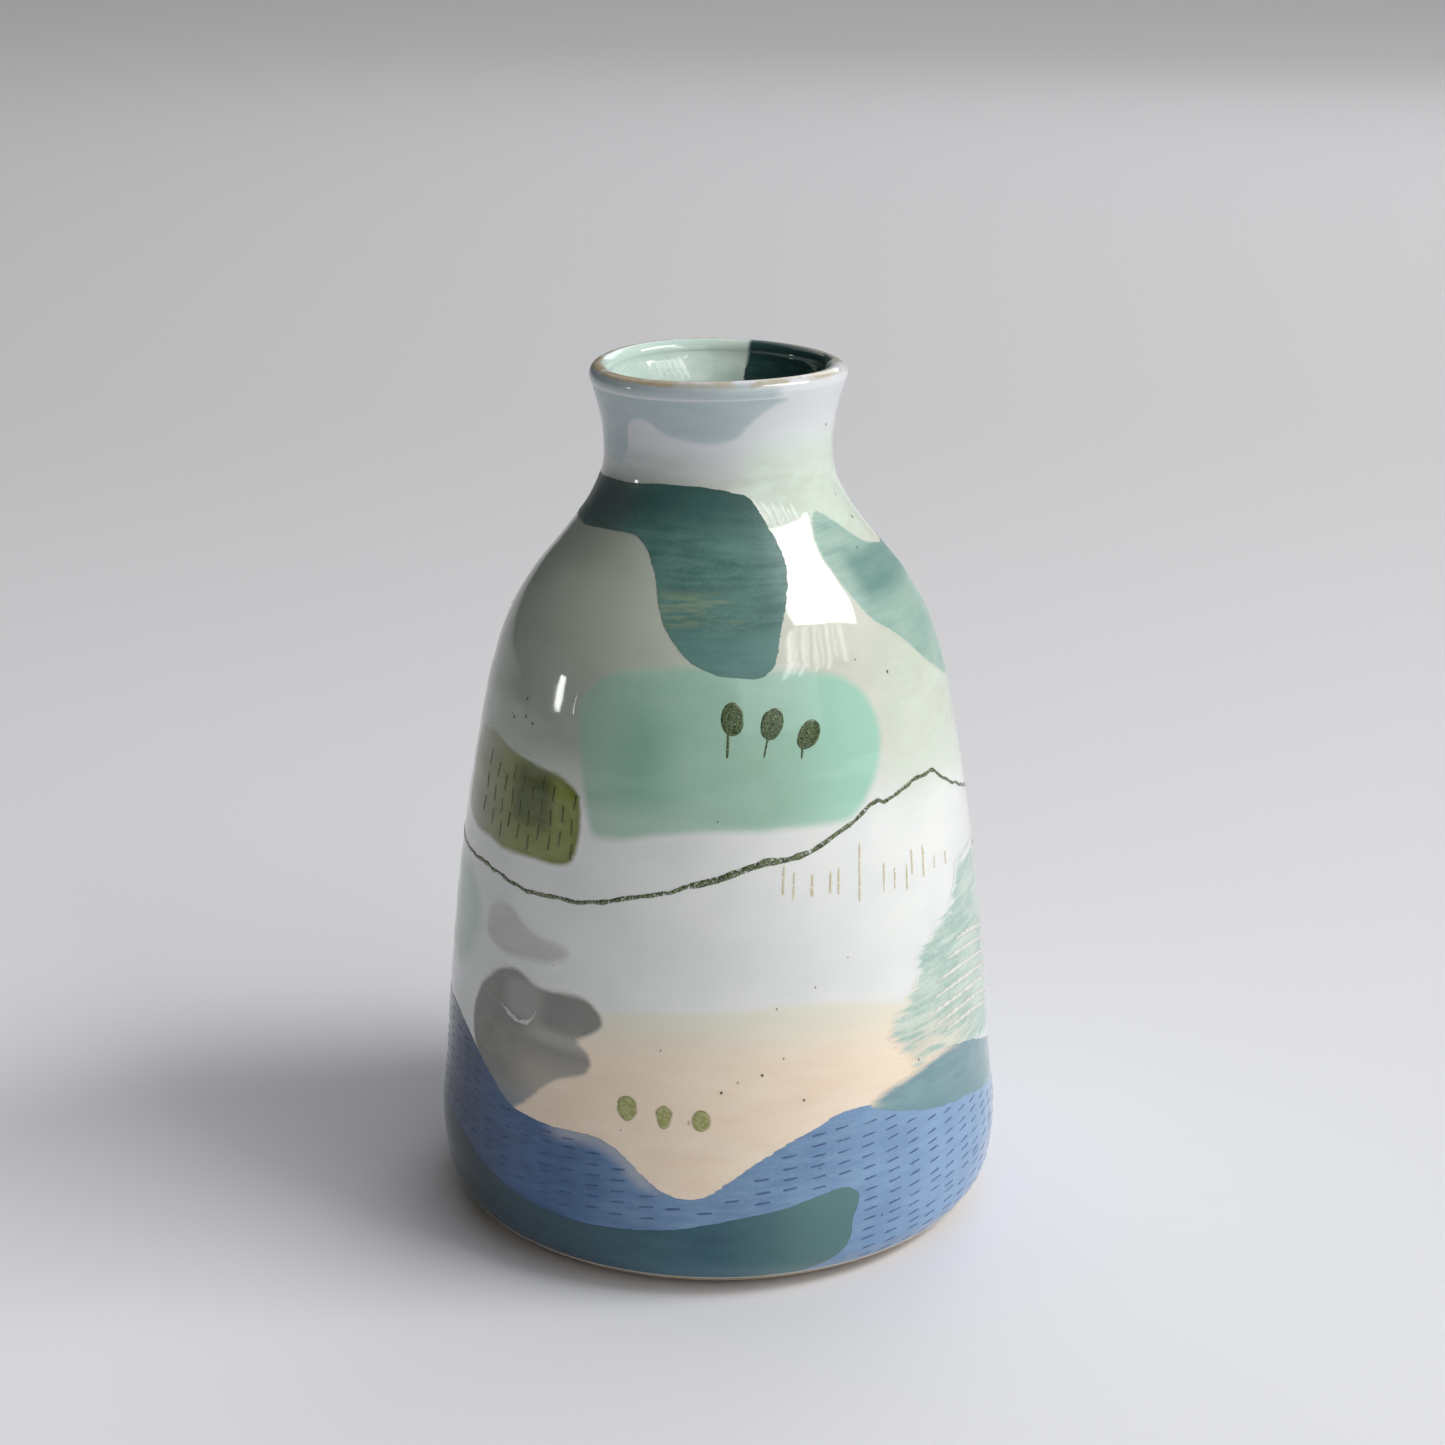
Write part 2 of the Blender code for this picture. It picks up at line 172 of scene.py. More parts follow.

# %% [markdown]
# ## The floor
#
# The vase stands on matt paper. A sweep of paper curves up behind and greys as it turns from the
# light. A flat floor much wider than the view shows the same and works from every side, so that
# falloff is painted on it as painted shade: its colour darkens from the front to the back.

# %% Floor
FLOOR_ACROSS = 16.0
PAPER_NEAR = colour(238, 239, 244)
# The far paper colour is painted shade, for the light falling off behind the vase.
PAPER_FAR_SHADE = colour(211, 211, 214)

floor_mesh = bpy.data.meshes.new("floor")
reach = FLOOR_ACROSS / 2
corners = [(-reach, -reach, 0), (reach, -reach, 0), (reach, reach, 0), (-reach, reach, 0)]
floor_mesh.from_pydata(corners, [], [(0, 1, 2, 3)])
floor = bpy.data.objects.new("floor", floor_mesh)
bpy.context.scene.collection.objects.link(floor)
floor_look = bpy.data.materials.new("matt paper")
floor_look.use_nodes = True
paper = floor_look.node_tree.nodes["Principled BSDF"]
paper.inputs["Roughness"].default_value = 0.6
paper.inputs["Specular IOR Level"].default_value = 0.2
sheet = Wire(floor_look.node_tree)
on_floor = sheet.node("TexCoord", out="Object")
away = sheet.node("SeparateXYZ", sockets={0: on_floor}, out="Y")
# Painted shade: the paper is painted darker towards the back, where the light falls off.
painted_floor_shade = away.step(-0.20, 0.55).tint(PAPER_NEAR, PAPER_FAR_SHADE)
floor_look.node_tree.links.new(painted_floor_shade.socket, paper.inputs["Base Color"])
floor_mesh.materials.append(floor_look)
print(f"the floor is {FLOOR_ACROSS:.0f} m across")

# %% [markdown]
# ## The light
#
# One window, high on the right, lights the vase and throws its shadow to the left. Its reflection
# is the bright patch on the shoulder, and a hedge below it leaves only narrow gaps of sky, which
# show as streaks. The room gives the rest: a sky that is brighter on the window's side, the pale
# room in front, the ceiling, and a far small window on the left.

# %% Sky
SKY_LEFT = 0.012
SKY_RIGHT = 0.31

sky = bpy.data.worlds.new("sky")
bpy.context.scene.world = sky
sky.use_nodes = True
air = Wire(sky.node_tree)
way = air.node("TexCoord", out="Generated")
sideways = air.node("SeparateXYZ", sockets={0: way}, out="X")
brightness = SKY_LEFT + (SKY_RIGHT - SKY_LEFT) * sideways.step(-0.8, 0.8)
background = sky.node_tree.nodes["Background"]
background.inputs["Color"].default_value = (1.0, 1.0, 0.99, 1.0)
sky.node_tree.links.new(brightness.socket, background.inputs["Strength"])
print(f"the sky goes from {SKY_LEFT} on the left to {SKY_RIGHT} on the right")

# %% Lamps
SHOULDER = Vector((0.011, -0.0175, 0.091))
WINDOW_WAY = Vector((0.682, -0.077, 0.718)).normalized()
WINDOW_AWAY = 3.0
WINDOW_SIZE = (1.9, 0.8)
WINDOW_SHIFT = (0.08, -0.11)
WINDOW_TILT = np.radians(34)
WINDOW_WATTS = 58.0


def lamp(name, place, towards, size, watts, shade=(1.0, 1.0, 1.0), roll=0.0):
    """A rectangular soft light of a size in metres."""
    data = bpy.data.lights.new(name, "AREA")
    data.shape = "RECTANGLE"
    data.size, data.size_y = size
    data.energy = watts
    data.color = shade
    return put(name, data, place, towards, roll)


# Seen from the vase, the window leans, so `along` is its long side and `over` its short one.
forwards = WINDOW_WAY.cross(Vector((0, 0, 1))).normalized()
upwards = forwards.cross(WINDOW_WAY).normalized()
leaning = Quaternion(WINDOW_WAY, -WINDOW_TILT)
along = leaning @ forwards
over = leaning @ upwards
window_centre = SHOULDER + WINDOW_AWAY * WINDOW_WAY
window_centre += WINDOW_SHIFT[0] * forwards + WINDOW_SHIFT[1] * upwards
DAYLIGHT = (1.0, 0.99, 0.97)
lamp("window", window_centre, SHOULDER, WINDOW_SIZE, WINDOW_WATTS, DAYLIGHT, -WINDOW_TILT)
lamp("small_window", (-1.0, -0.10, 0.19), (0, 0, 0.08), (0.075, 0.075), 0.3)
lamp("ceiling", (0.0, 3.0, 2.5), (0, 3.0, 0), (4.0, 4.0), 32.0)
lamp("room_in_front", (1.2, -1.9, 1.1), (0, 0, 0.06), (1.8, 1.4), 9.0)
lamp("far_side", (0.5, 1.5, 0.9), (0, 0, 0.06), (0.9, 0.6), 3.0, (0.97, 0.98, 1.0))
print("lamps:", [lit.name for lit in bpy.data.lights])

# %% Gaps of sky under the window
# Each gap: metres along the window, its width, its length, and its share of the window's glow.
GAPS = [
    (1.47, 0.15, 1.5, 0.55), (1.20, 0.09, 1.2, 0.4), (0.98, 0.12, 1.3, 0.4), (0.76, 0.08, 0.9, 0.35),
    (0.55, 0.12, 1.1, 0.4), (0.34, 0.08, 0.8, 0.35), (0.13, 0.12, 0.9, 0.4), (-0.10, 0.08, 0.6, 0.3),
    (-0.33, 0.12, 0.7, 0.35),
]
GAP_TOP = -0.42

window_glow = WINDOW_WATTS / (WINDOW_SIZE[0] * WINDOW_SIZE[1])
for number, (beside, wide, long, share) in enumerate(GAPS):
    centre = window_centre + beside * along + (GAP_TOP - long / 2) * over
    watts = share * window_glow * wide * long
    lamp(f"gap_{number + 1}", centre, SHOULDER, (wide, long), watts, DAYLIGHT, -WINDOW_TILT)
print(f"{len(GAPS)} gaps of sky under the window")

# %% [markdown]
# ## The thrown wall
#
# A turned pot is a profile swept round an axis. The profile below goes through a few stations of
# height and radius, on a smooth curve. A wheel and a hand leave small errors, so the circle is
# given a slow swell, faint rings climbing the wall, and a rim that isn't quite level.

# %% The outline of the wall, outside and in
LIP_ROLL = 1.35
LIP_CENTRE = (15.15, TALL - LIP_ROLL)
OUTSIDE = (
    (0.0, 32.5), (1.2, 34.9), (3.4, 36.9), (8.0, 38.0), (20.0, 37.3), (35.0, 36.1), (50.0, 34.3),
    (65.0, 31.8), (75.0, 29.6), (81.0, 27.5), (86.0, 24.6), (91.0, 20.6), (96.0, 16.9),
    (100.0, 15.1), (104.0, 14.75), (108.0, 15.25), (LIP_CENTRE[1], 16.5),
)
INSIDE = (
    (14.0, 33.0), (20.0, 33.3), (35.0, 32.3), (50.0, 30.6), (65.0, 28.2), (75.0, 26.0),
    (81.0, 23.6), (86.0, 20.4), (91.0, 16.3), (96.0, 13.1), (100.0, 11.7), (104.0, 11.4),
    (109.0, 12.2), (LIP_CENTRE[1], 13.8),
)


def through(stations, places):
    """Heights to radii on cubic pieces that pass through the stations and share end slopes.

    On a piece, with t from 0 to 1, the radius is the two end radii weighted by (1 + 2t)(1 - t)^2
    and (3 - 2t)t^2, plus the span times t(1 - t) times the end slopes' own blend.
    """
    x, y = np.array(stations, float).T
    slope = np.gradient(y, x)
    places = np.asarray(places, float)
    piece = np.clip(np.searchsorted(x, places, side="right") - 1, 0, len(x) - 2)
    span = x[piece + 1] - x[piece]
    t = (places - x[piece]) / span
    rising = y[piece] * (1 + 2 * t) * (1 - t) ** 2 + y[piece + 1] * (3 - 2 * t) * t**2
    return rising + span * t * (1 - t) * (slope[piece] * (1 - t) - slope[piece + 1] * t)


print(f"the foot is {through(OUTSIDE, 0.0):.1f} mm in radius, the neck {through(OUTSIDE, 104.0):.2f}")

# %% Points on the turned wall


def turned(azimuth, radius, height):
    """Points (r sin a, -r cos a, z) in millimetres, with the swell, rings and rim of hand work.

    The swell is two slow waves round the pot that twist as they climb, the rings are one shallow
    wave up the wall, and the rim rises and falls twice in a turn.
    """
    a = np.radians(azimuth)
    swell = 0.10 * np.sin(2 * a + height / 30) + 0.06 * np.sin(3 * a + 2.0 - height / 22)
    rings = 0.022 * np.sin(2 * np.pi * height / 5.2 - a) * np.clip((height - 8) / 10, 0, 1)
    rim = 0.18 * np.sin(2 * a + 0.9) * np.clip((height - 98) / 14, 0, 1)
    r = radius + (swell + rings) * np.clip(height / 10, 0, 1)
    across = np.broadcast_arrays(r * np.sin(a), -r * np.cos(a), height + rim)
    return np.stack(across, axis=-1)


def lean_of(stations, height):
    """How far the radius grows per millimetre of height."""
    return (through(stations, height + 0.1) - through(stations, height - 0.1)) / 0.2


def wall_line(stations, height, inset, facing=1):
    """Radii and heights of a wall set back along its normal; facing is -1 towards the axis."""
    lean = lean_of(stations, height)
    length = np.sqrt(1 + lean**2)
    radius = through(stations, height) - facing * inset / length
    return np.stack([radius, height + facing * inset * lean / length], axis=-1)


def on_wall(azimuth, height, lift=0.0, stations=OUTSIDE, facing=1):
    """Points on a wall, moved `lift` millimetres out along its normal."""
    line = wall_line(stations, height, -lift, facing)
    return turned(azimuth, line[..., 0], line[..., 1])


def lip(start, end, count, inset=0.0):
    """Radii and heights on the roll of the lip, between two angles; 90 degrees is its crest."""
    angle = np.radians(np.linspace(start, end, count))
    radius = LIP_CENTRE[0] + (LIP_ROLL - inset) * np.cos(angle)
    return np.stack([radius, LIP_CENTRE[1] + (LIP_ROLL - inset) * np.sin(angle)], axis=-1)


print("a point on the front of the wall:", on_wall(0.0, 50.0).round(2))

# %% A mesh from grids of points


def mesh_piece(name, points, faces, look, stands_for=(), depth=None):
    """A smooth piece from points in millimetres and four-cornered faces, riding on the vase."""
    used, corner = np.unique(faces, return_inverse=True)
    mesh = bpy.data.meshes.new(name)
    mesh.vertices.add(len(used))
    mesh.vertices.foreach_set("co", (points[used] * MM).ravel())
    mesh.loops.add(corner.size)
    mesh.loops.foreach_set("vertex_index", corner.ravel().astype(np.int32))
    mesh.polygons.add(len(faces))
    mesh.polygons.foreach_set("loop_start", np.arange(0, corner.size, 4, dtype=np.int32))
    mesh.update(calc_edges=True)
    mesh.shade_smooth()
    if depth is not None:
        mesh.attributes.new("depth", "FLOAT", "POINT").data.foreach_set("value", depth[used])
    mesh.materials.append(look)
    piece = bpy.data.objects.new(name, mesh)
    bpy.context.scene.collection.objects.link(piece)
    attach(piece, "root")
    if stands_for:
        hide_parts(*stands_for)
    print(f"{name}: {len(faces)} faces")
    return piece


def grid_faces(rows, columns, around=False, over=False):
    """The faces of a grid; `around` closes it from side to side, and `over` from end to end."""
    number = np.arange(rows * columns).reshape(rows, columns)
    right = np.roll(number, -1, axis=1)
    above = np.roll(number, -1, axis=0)
    beyond = np.roll(above, -1, axis=1)
    faces = np.stack([number, right, beyond, above], axis=-1)
    faces = faces if over else faces[:-1]
    return (faces if around else faces[:, :-1]).reshape(-1, 4)


def thicken(piece, millimetres):
    """Gives an open skin a body under its face, so that it is a closed solid."""
    body = piece.modifiers.new("thickness", "SOLIDIFY")
    body.thickness = millimetres * MM
    body.offset = -1.0
    return piece


print("a 3 by 4 grid has", len(grid_faces(3, 4)), "faces")

# %% [markdown]
# ## Unevenness
#
# Hand work is uneven at every scale, so the edges of the slips and the widths of the strokes
# take their unevenness from smooth noise. A random value for each point would look like dust.
# Values on a coarse lattice, blended between its corners, swell and shrink as a hand does.

# %% Noise for shapes


def unevenness(points, size, seed):
    """Smooth noise from -1 to 1: random values on a lattice of this size, blended between."""
    place = points / size + seed * 17.3
    cell = np.floor(place)
    t = place - cell
    t = t * t * (3 - 2 * t)
    total = 0.0
    for corner in np.ndindex(2, 2, 2):
        code = (cell + corner) @ np.array([12.9898, 78.233, 37.719])
        value = np.modf(np.sin(code) * 43758.5453)[0]
        weight = np.prod(np.where(np.array(corner) == 1, t, 1 - t), axis=-1)
        total = total + weight * value
    return total


print("noise on the front of the wall:", float(unevenness(on_wall(0.0, 50.0), 2.0, 1).round(3)))

# %% [markdown]
# ## Finishes
#
# Everything on the vase is a fired finish: bare clay, or clay colour under glass. Each one reads
# its place on the wall as an azimuth and a height, so that neighbouring layers can agree about
# what colour lies where, and takes its mottling from noise drawn out sideways by the brush.

# %% What every finish shares


def begin(name, gloss=0.5):
    """A new material: its wire, its Principled shader, and the place on it in millimetres."""
    look = bpy.data.materials.new(name)
    look.use_nodes = True
    shader = look.node_tree.nodes["Principled BSDF"]
    shader.inputs["IOR"].default_value = 1.52
    shader.inputs["Specular IOR Level"].default_value = gloss
    wire = Wire(look.node_tree)
    metres = wire.node("TexCoord", out="Object")
    place = wire.node("VectorMath", {"operation": "SCALE"}, {0: metres, "Scale": 1 / MM})
    return look, shader, wire, place


def round_and_up(wire, place):
    """The azimuth in degrees, from the front towards the right, and the height in millimetres."""
    parts = wire.node("SeparateXYZ", sockets={0: place}).socket.node.outputs
    x, y, z = (Wire(wire.tree, part) for part in parts)
    azimuth = wire.math("ARCTAN2", x, y * -1) * (180 / np.pi)
    return azimuth, z


def mottle(wire, place, size, stretch=1.0, detail=2.0, seed=0.0):
    """Noise of a size in millimetres, drawn out sideways `stretch` times, as a brush leaves it."""
    scale = (1 / (size * stretch), 1 / (size * stretch), 1 / size)
    spot = {"Vector": place, "Location": (seed, seed, seed), "Scale": scale}
    moved = wire.node("Mapping", {"vector_type": "POINT"}, spot)
    noise = {"Vector": moved, "Scale": 1.0, "Detail": detail, "Roughness": 0.55}
    return wire.node("TexNoise", None, noise)


def finish_look(look, shader, wire, shade, rough, relief=None, strength=0.1, cover=None):
    """Links colour, roughness, relief in millimetres and cover, its opacity, to the shader."""
    tree = look.node_tree
    tree.links.new(shade.socket, shader.inputs["Base Color"])
    tree.links.new(rough.socket, shader.inputs["Roughness"])
    if relief is not None:
        bump = {"Strength": 1.0, "Distance": MM * strength, "Height": relief}
        tree.links.new(wire.node("Bump", None, bump).socket, shader.inputs["Normal"])
    if cover is not None:
        tree.links.new(cover.socket, shader.inputs["Alpha"])
    return look


print("finishes read Object coordinates, in millimetres")

# %% [markdown]
# ## Clay
#
# The clay can be seen only on the foot, below the line where the glaze was wiped off, but the
# whole pot is made, so that the piece is a true solid. It is one closed line swept round the axis.
# Bare clay is matt and buff, with grog in it.

# %% Bare clay
COLUMNS = 320


def bare_clay():
    """Matt buff clay, in two shades, with darker grains of grog."""
    look, shader, wire, place = begin("bare buff clay", gloss=0.25)
    grog = mottle(wire, place, 0.5, detail=3.0)
    cloud = mottle(wire, place, 6.0, seed=9.0)
    shade = cloud.step(0.3, 0.7).tint(colour(166, 146, 118), colour(186, 168, 142))
    shade = grog.step(0.62, 0.70).tint(shade, colour(128, 104, 80))
    return finish_look(look, shader, wire, shade, grog * 0.2 + 0.72, grog, 0.08)


def swept(name, line, look, stands_for):
    """A closed line of radii and heights swept round the axis: rows up it, columns round it."""
    azimuth = np.arange(COLUMNS) * 360 / COLUMNS
    points = turned(azimuth, line[:, :1], line[:, 1:])
    faces = grid_faces(len(line), COLUMNS, around=True, over=True)
    return mesh_piece(name, points.reshape(-1, 3), faces, look, stands_for)


buff = bare_clay()
print("finish:", buff.name)

# %% The pot of clay
GLAZE_END = 1.9
UNDER = 0.3
PIN = 0.02
FLOOR_HEIGHT = 6.0

# The outline runs up the outside, over the lip and down the inside, then across the foot.
heights_out = np.concatenate([np.linspace(0.9, 8.0, 14), np.linspace(9.5, 111.2, 62)])
heights_in = np.linspace(111.0, 14.0, 60)
corner_turn = np.radians(np.linspace(0, -90, 9))
floor_bend = np.stack([25.0 + 8.0 * np.cos(corner_turn), 14.0 + 8.0 * np.sin(corner_turn)], axis=-1)
foot_ring = np.array([
    (PIN, 1.6), (12.0, 1.62), (24.6, 1.6), (25.3, 1.35), (26.1, 0.35), (26.5, 0.06), (27.0, 0.0),
    (32.2, 0.0), (32.9, 0.12), (33.6, 0.45),
])
clay_line = np.concatenate([
    foot_ring,
    wall_line(OUTSIDE, heights_out, np.clip((heights_out - GLAZE_END) / 0.7, 0, 1) * UNDER),
    lip(-13, 190, 15, inset=UNDER),
    wall_line(INSIDE, heights_in, UNDER, facing=-1),
    floor_bend - (0.0, UNDER),
    [(12.0, FLOOR_HEIGHT - UNDER), (PIN, FLOOR_HEIGHT - UNDER)],
])
swept("clay_pot", clay_line, buff, ["clay_body"])

# %% [markdown]
# ## The two coats of glaze
#
# The glaze is glass over a pale slip ground. A real coat of clear glass over the slips would show
# the same colours through a second surface, at the price of a grainy picture. So the coat takes
# the ground's colour and a smooth gloss, and each slip carries its own gloss in the same way.

# %% Glazed ground, outside


def ground_colour(wire, place, azimuth, height):
    """The glazed ground: near white, with thin washes of mint, lavender and cream over it."""
    cloud = mottle(wire, place, 9.0, stretch=1.6).step(0.3, 0.7)
    streak = mottle(wire, place, 1.1, stretch=3.0, seed=4.0).step(0.35, 0.75)
    shade = cloud.tint(colour(224, 227, 225), colour(232, 234, 232))
    upper = cloud.tint(colour(198, 201, 188), colour(213, 215, 203))
    # Painted shade: above the horizon the ground is painted greyer on the left, away from the window.
    greyer = cloud.tint(colour(166, 175, 162), colour(179, 187, 175))
    upper = azimuth.between(-170, -14, 22).tint(upper, greyer)
    shade = height.step(60, 71).tint(shade, upper)
    shade = height.step(103, 106).tint(shade, colour(217, 220, 223))
    wash = azimuth.between(12, 150, 9) * height.between(92, 106, 3)
    shade = (wash * (0.45 + 0.5 * streak)).tint(shade, colour(208, 225, 211))
    wash = azimuth.between(44, 120, 7) * height.between(62, 81, 4)
    shade = (wash * (0.35 + 0.5 * streak)).tint(shade, colour(206, 220, 203))
    wash = azimuth.between(-140, 14, 10) * height.between(101, 112, 2)
    return (wash * (0.45 + 0.3 * streak)).tint(shade, colour(208, 212, 216))


SAND = colour(238, 219, 197)
SAND_CREAM = colour(226, 226, 211)


def sandy_ground(wire, place, azimuth, height):
    """The ground, with the sand over it in front and below the sand's top."""
    sand = height.step(31.0, 38.5).tint(SAND, SAND_CREAM)
    there = height.step(40.0, 37.8) * azimuth.between(-49, 52, 4)
    return there.tint(ground_colour(wire, place, azimuth, height), sand)


def outside_glaze():
    """The ground's colour. On the lip it takes the colour of the slip that runs up to it there.

    Glaze runs thin off an edge, so buff clay shows along the crest, most of all on the left, and
    above the foot.
    """
    look, shader, wire, place = begin("clear gloss glaze over a pale ground")
    azimuth, height = round_and_up(wire, place)
    shade = ground_colour(wire, place, azimuth, height)
    thin = mottle(wire, place, 1.6, stretch=2.4, seed=7.0)
    level = wire.node("VectorMath", {"operation": "MULTIPLY"}, {0: place, 1: (1, 1, 0)})
    radius = wire.node("VectorMath", {"operation": "LENGTH"}, {0: level}, out="Value")
    inner = height.step(TALL - 5, TALL - 4.2) * radius.step(15.5, 14.7)
    shade = (inner * azimuth.step(70, 96)).tint(shade, colour(206, 222, 214))
    shade = (inner * azimuth.step(-62, -72)).tint(shade, colour(200, 222, 213))
    shade = (inner * azimuth.between(97, 163, 1.5)).tint(shade, colour(40, 68, 67))
    outer = height.step(TALL - 2.2, TALL - 1.7) * radius.step(15.6, 16.1)
    shade = (outer * azimuth.between(-128, 28, 4) * 0.9).tint(shade, colour(178, 192, 195))
    crest = height.step(TALL - 0.75, TALL - 0.3) * radius.step(14.6, 15.3)
    left = azimuth.between(-120, -15, 20)
    shade = (crest * thin.step(0.3, 0.5) * left).tint(shade, colour(168, 148, 116))
    shade = (crest * thin.step(0.42, 0.6) * 0.75).tint(shade, colour(182, 168, 138))
    shade = height.step(2.9, 2.1).tint(shade, colour(176, 160, 134))
    wave = mottle(wire, place, 2.4, stretch=1.8, detail=1.0, seed=5.0)
    rough = mottle(wire, place, 5.0, seed=8.0) * 0.06 + 0.05
    return finish_look(look, shader, wire, shade, rough, wave, 0.04)


pale_glaze = outside_glaze()
print("finish:", pale_glaze.name)

# %% The outer coat, with the bead where it was wiped off the foot
GLAZE_THICK = 0.25
BEAD = 0.42
BEAD_PROUD = 0.1

bead_height = np.array([GLAZE_END + BEAD])
bead_centre = wall_line(OUTSIDE, bead_height, BEAD - BEAD_PROUD)
bead_turn = np.radians(np.linspace(-175, 20, 9))
bead = bead_centre + BEAD * np.stack([np.cos(bead_turn), np.sin(bead_turn)], axis=-1)
over_out = np.concatenate([np.linspace(2.9, 8.0, 10), np.linspace(9.2, 111.4, 96)])
down_in = np.linspace(111.2, 107.5, 5)
glaze_line = np.concatenate([
    bead,
    wall_line(OUTSIDE, over_out, 0.0),
    lip(-13, 190, 25),
    wall_line(INSIDE, down_in, 0.0, facing=-1),
    wall_line(INSIDE, down_in[::-1], GLAZE_THICK, facing=-1),
    lip(190, -13, 12, inset=GLAZE_THICK),
    wall_line(OUTSIDE, np.linspace(111.0, 2.9, 50), GLAZE_THICK),
])
swept("glaze_outside", glaze_line, pale_glaze, ["outer_glaze"])

# %% Glazed inside


def inside_glaze():
    """Cream, flecked with iron, with painted shade in buff down the neck, greyer at the bottom."""
    look, shader, wire, place = begin("clear gloss glaze inside")
    height = wire.node("SeparateXYZ", sockets={0: place}, out="Z")
    cloud = mottle(wire, place, 5.0, stretch=2.0).step(0.3, 0.7)
    shade = cloud.tint(colour(188, 182, 162), colour(206, 202, 186))
    # Painted shade: a buff band down the inside of the neck, under the lip.
    thin = height.between(98, 108, 1.5)
    shade = (thin * 0.8).tint(shade, colour(168, 150, 118))
    fleck = mottle(wire, place, 0.6, detail=0.0, seed=3.0)
    shade = fleck.step(0.78, 0.84).tint(shade, colour(150, 134, 104))
    shade = height.step(40, 10).tint(shade, colour(182, 186, 172))
    wave = mottle(wire, place, 2.4, detail=1.0, seed=6.0)
    return finish_look(look, shader, wire, shade, wave * 0.06 + 0.05, wave, 0.05)


TUCK = 0.05
LINER_BACK = 0.26
liner_heights = np.linspace(109.5, 14.0, 80)
liner_line = np.concatenate([
    wall_line(INSIDE, liner_heights, TUCK, facing=-1),
    floor_bend - (0.0, TUCK),
    [(12.0, FLOOR_HEIGHT - TUCK), (PIN, FLOOR_HEIGHT - TUCK)],
    [(PIN, FLOOR_HEIGHT - LINER_BACK), (12.0, FLOOR_HEIGHT - LINER_BACK)],
    floor_bend[::-1] - (0.0, LINER_BACK),
    wall_line(INSIDE, liner_heights[::-1], LINER_BACK, facing=-1),
])
swept("glaze_inside", liner_line, inside_glaze(), ["liner_glaze"])

# %% [markdown]
# ## Slips
#
# Each slip is a thin skin of coloured clay, brushed on inside a loose outline and glazed over. It
# could be a mask in one big material, but then it would have no thickness and no name. Here each
# one is its own skin. Its outline is a loop of azimuths and heights, and the signed depth of
# every grid point inside that loop tells its shader how near the edge is. A wet edge fades into
# the ground, and a dry brush leaves it ragged.

# %% How deep a point lies inside an outline


def rounded(outline, times=2):
    """Cuts each corner of a closed loop at a quarter and at three quarters, a few times over."""
    loop = np.array(outline, float)
    for _ in range(times):
        after = np.roll(loop, -1, axis=0)
        loop = np.stack([0.75 * loop + 0.25 * after, 0.25 * loop + 0.75 * after], axis=1)
        loop = loop.reshape(-1, 2)
    return loop


def depth_inside(azimuth, height, loop, stations):
    """Millimetres to the nearest side of the loop, positive inside it and negative outside.

    Round the wall, a degree is worth the radius at that height. The nearest point of each side is
    found by dropping a perpendicular, and a point is inside if a ray from it crosses an odd
    number of sides.
    """
    degree = through(stations, height) * np.pi / 180
    slant = np.sqrt(1 + lean_of(stations, height) ** 2)
    start, end = loop, np.roll(loop, -1, axis=0)
    ax = (start[:, 0] - azimuth[..., None]) * degree[..., None]
    ay = (start[:, 1] - height[..., None]) * slant[..., None]
    bx = (end[:, 0] - azimuth[..., None]) * degree[..., None]
    by = (end[:, 1] - height[..., None]) * slant[..., None]
    side_x, side_y = bx - ax, by - ay
    share = -(ax * side_x + ay * side_y) / (side_x**2 + side_y**2 + 1e-12)
    share = np.clip(share, 0, 1)
    nearest = np.sqrt(((ax + share * side_x) ** 2 + (ay + share * side_y) ** 2).min(axis=-1))
    crosses = (ay > 0) != (by > 0)
    where = ax - ay * side_x / np.where(side_y == 0, 1e-12, side_y)
    inside = (crosses & (where > 0)).sum(axis=-1) % 2 == 1
    return np.where(inside, nearest, -nearest)


square = np.array([(-5, 45), (5, 45), (5, 55), (-5, 55)], float)
middle = depth_inside(np.array([0.0]), np.array([50.0]), square, OUTSIDE)
print(f"the middle of a small square is {middle[0]:.2f} mm deep")

# %% One slip skin
CELL = 0.42
SKIN = 0.2
DIVE = 0.08
RIM_START = 0.1
RIM_WIDTH = 0.9


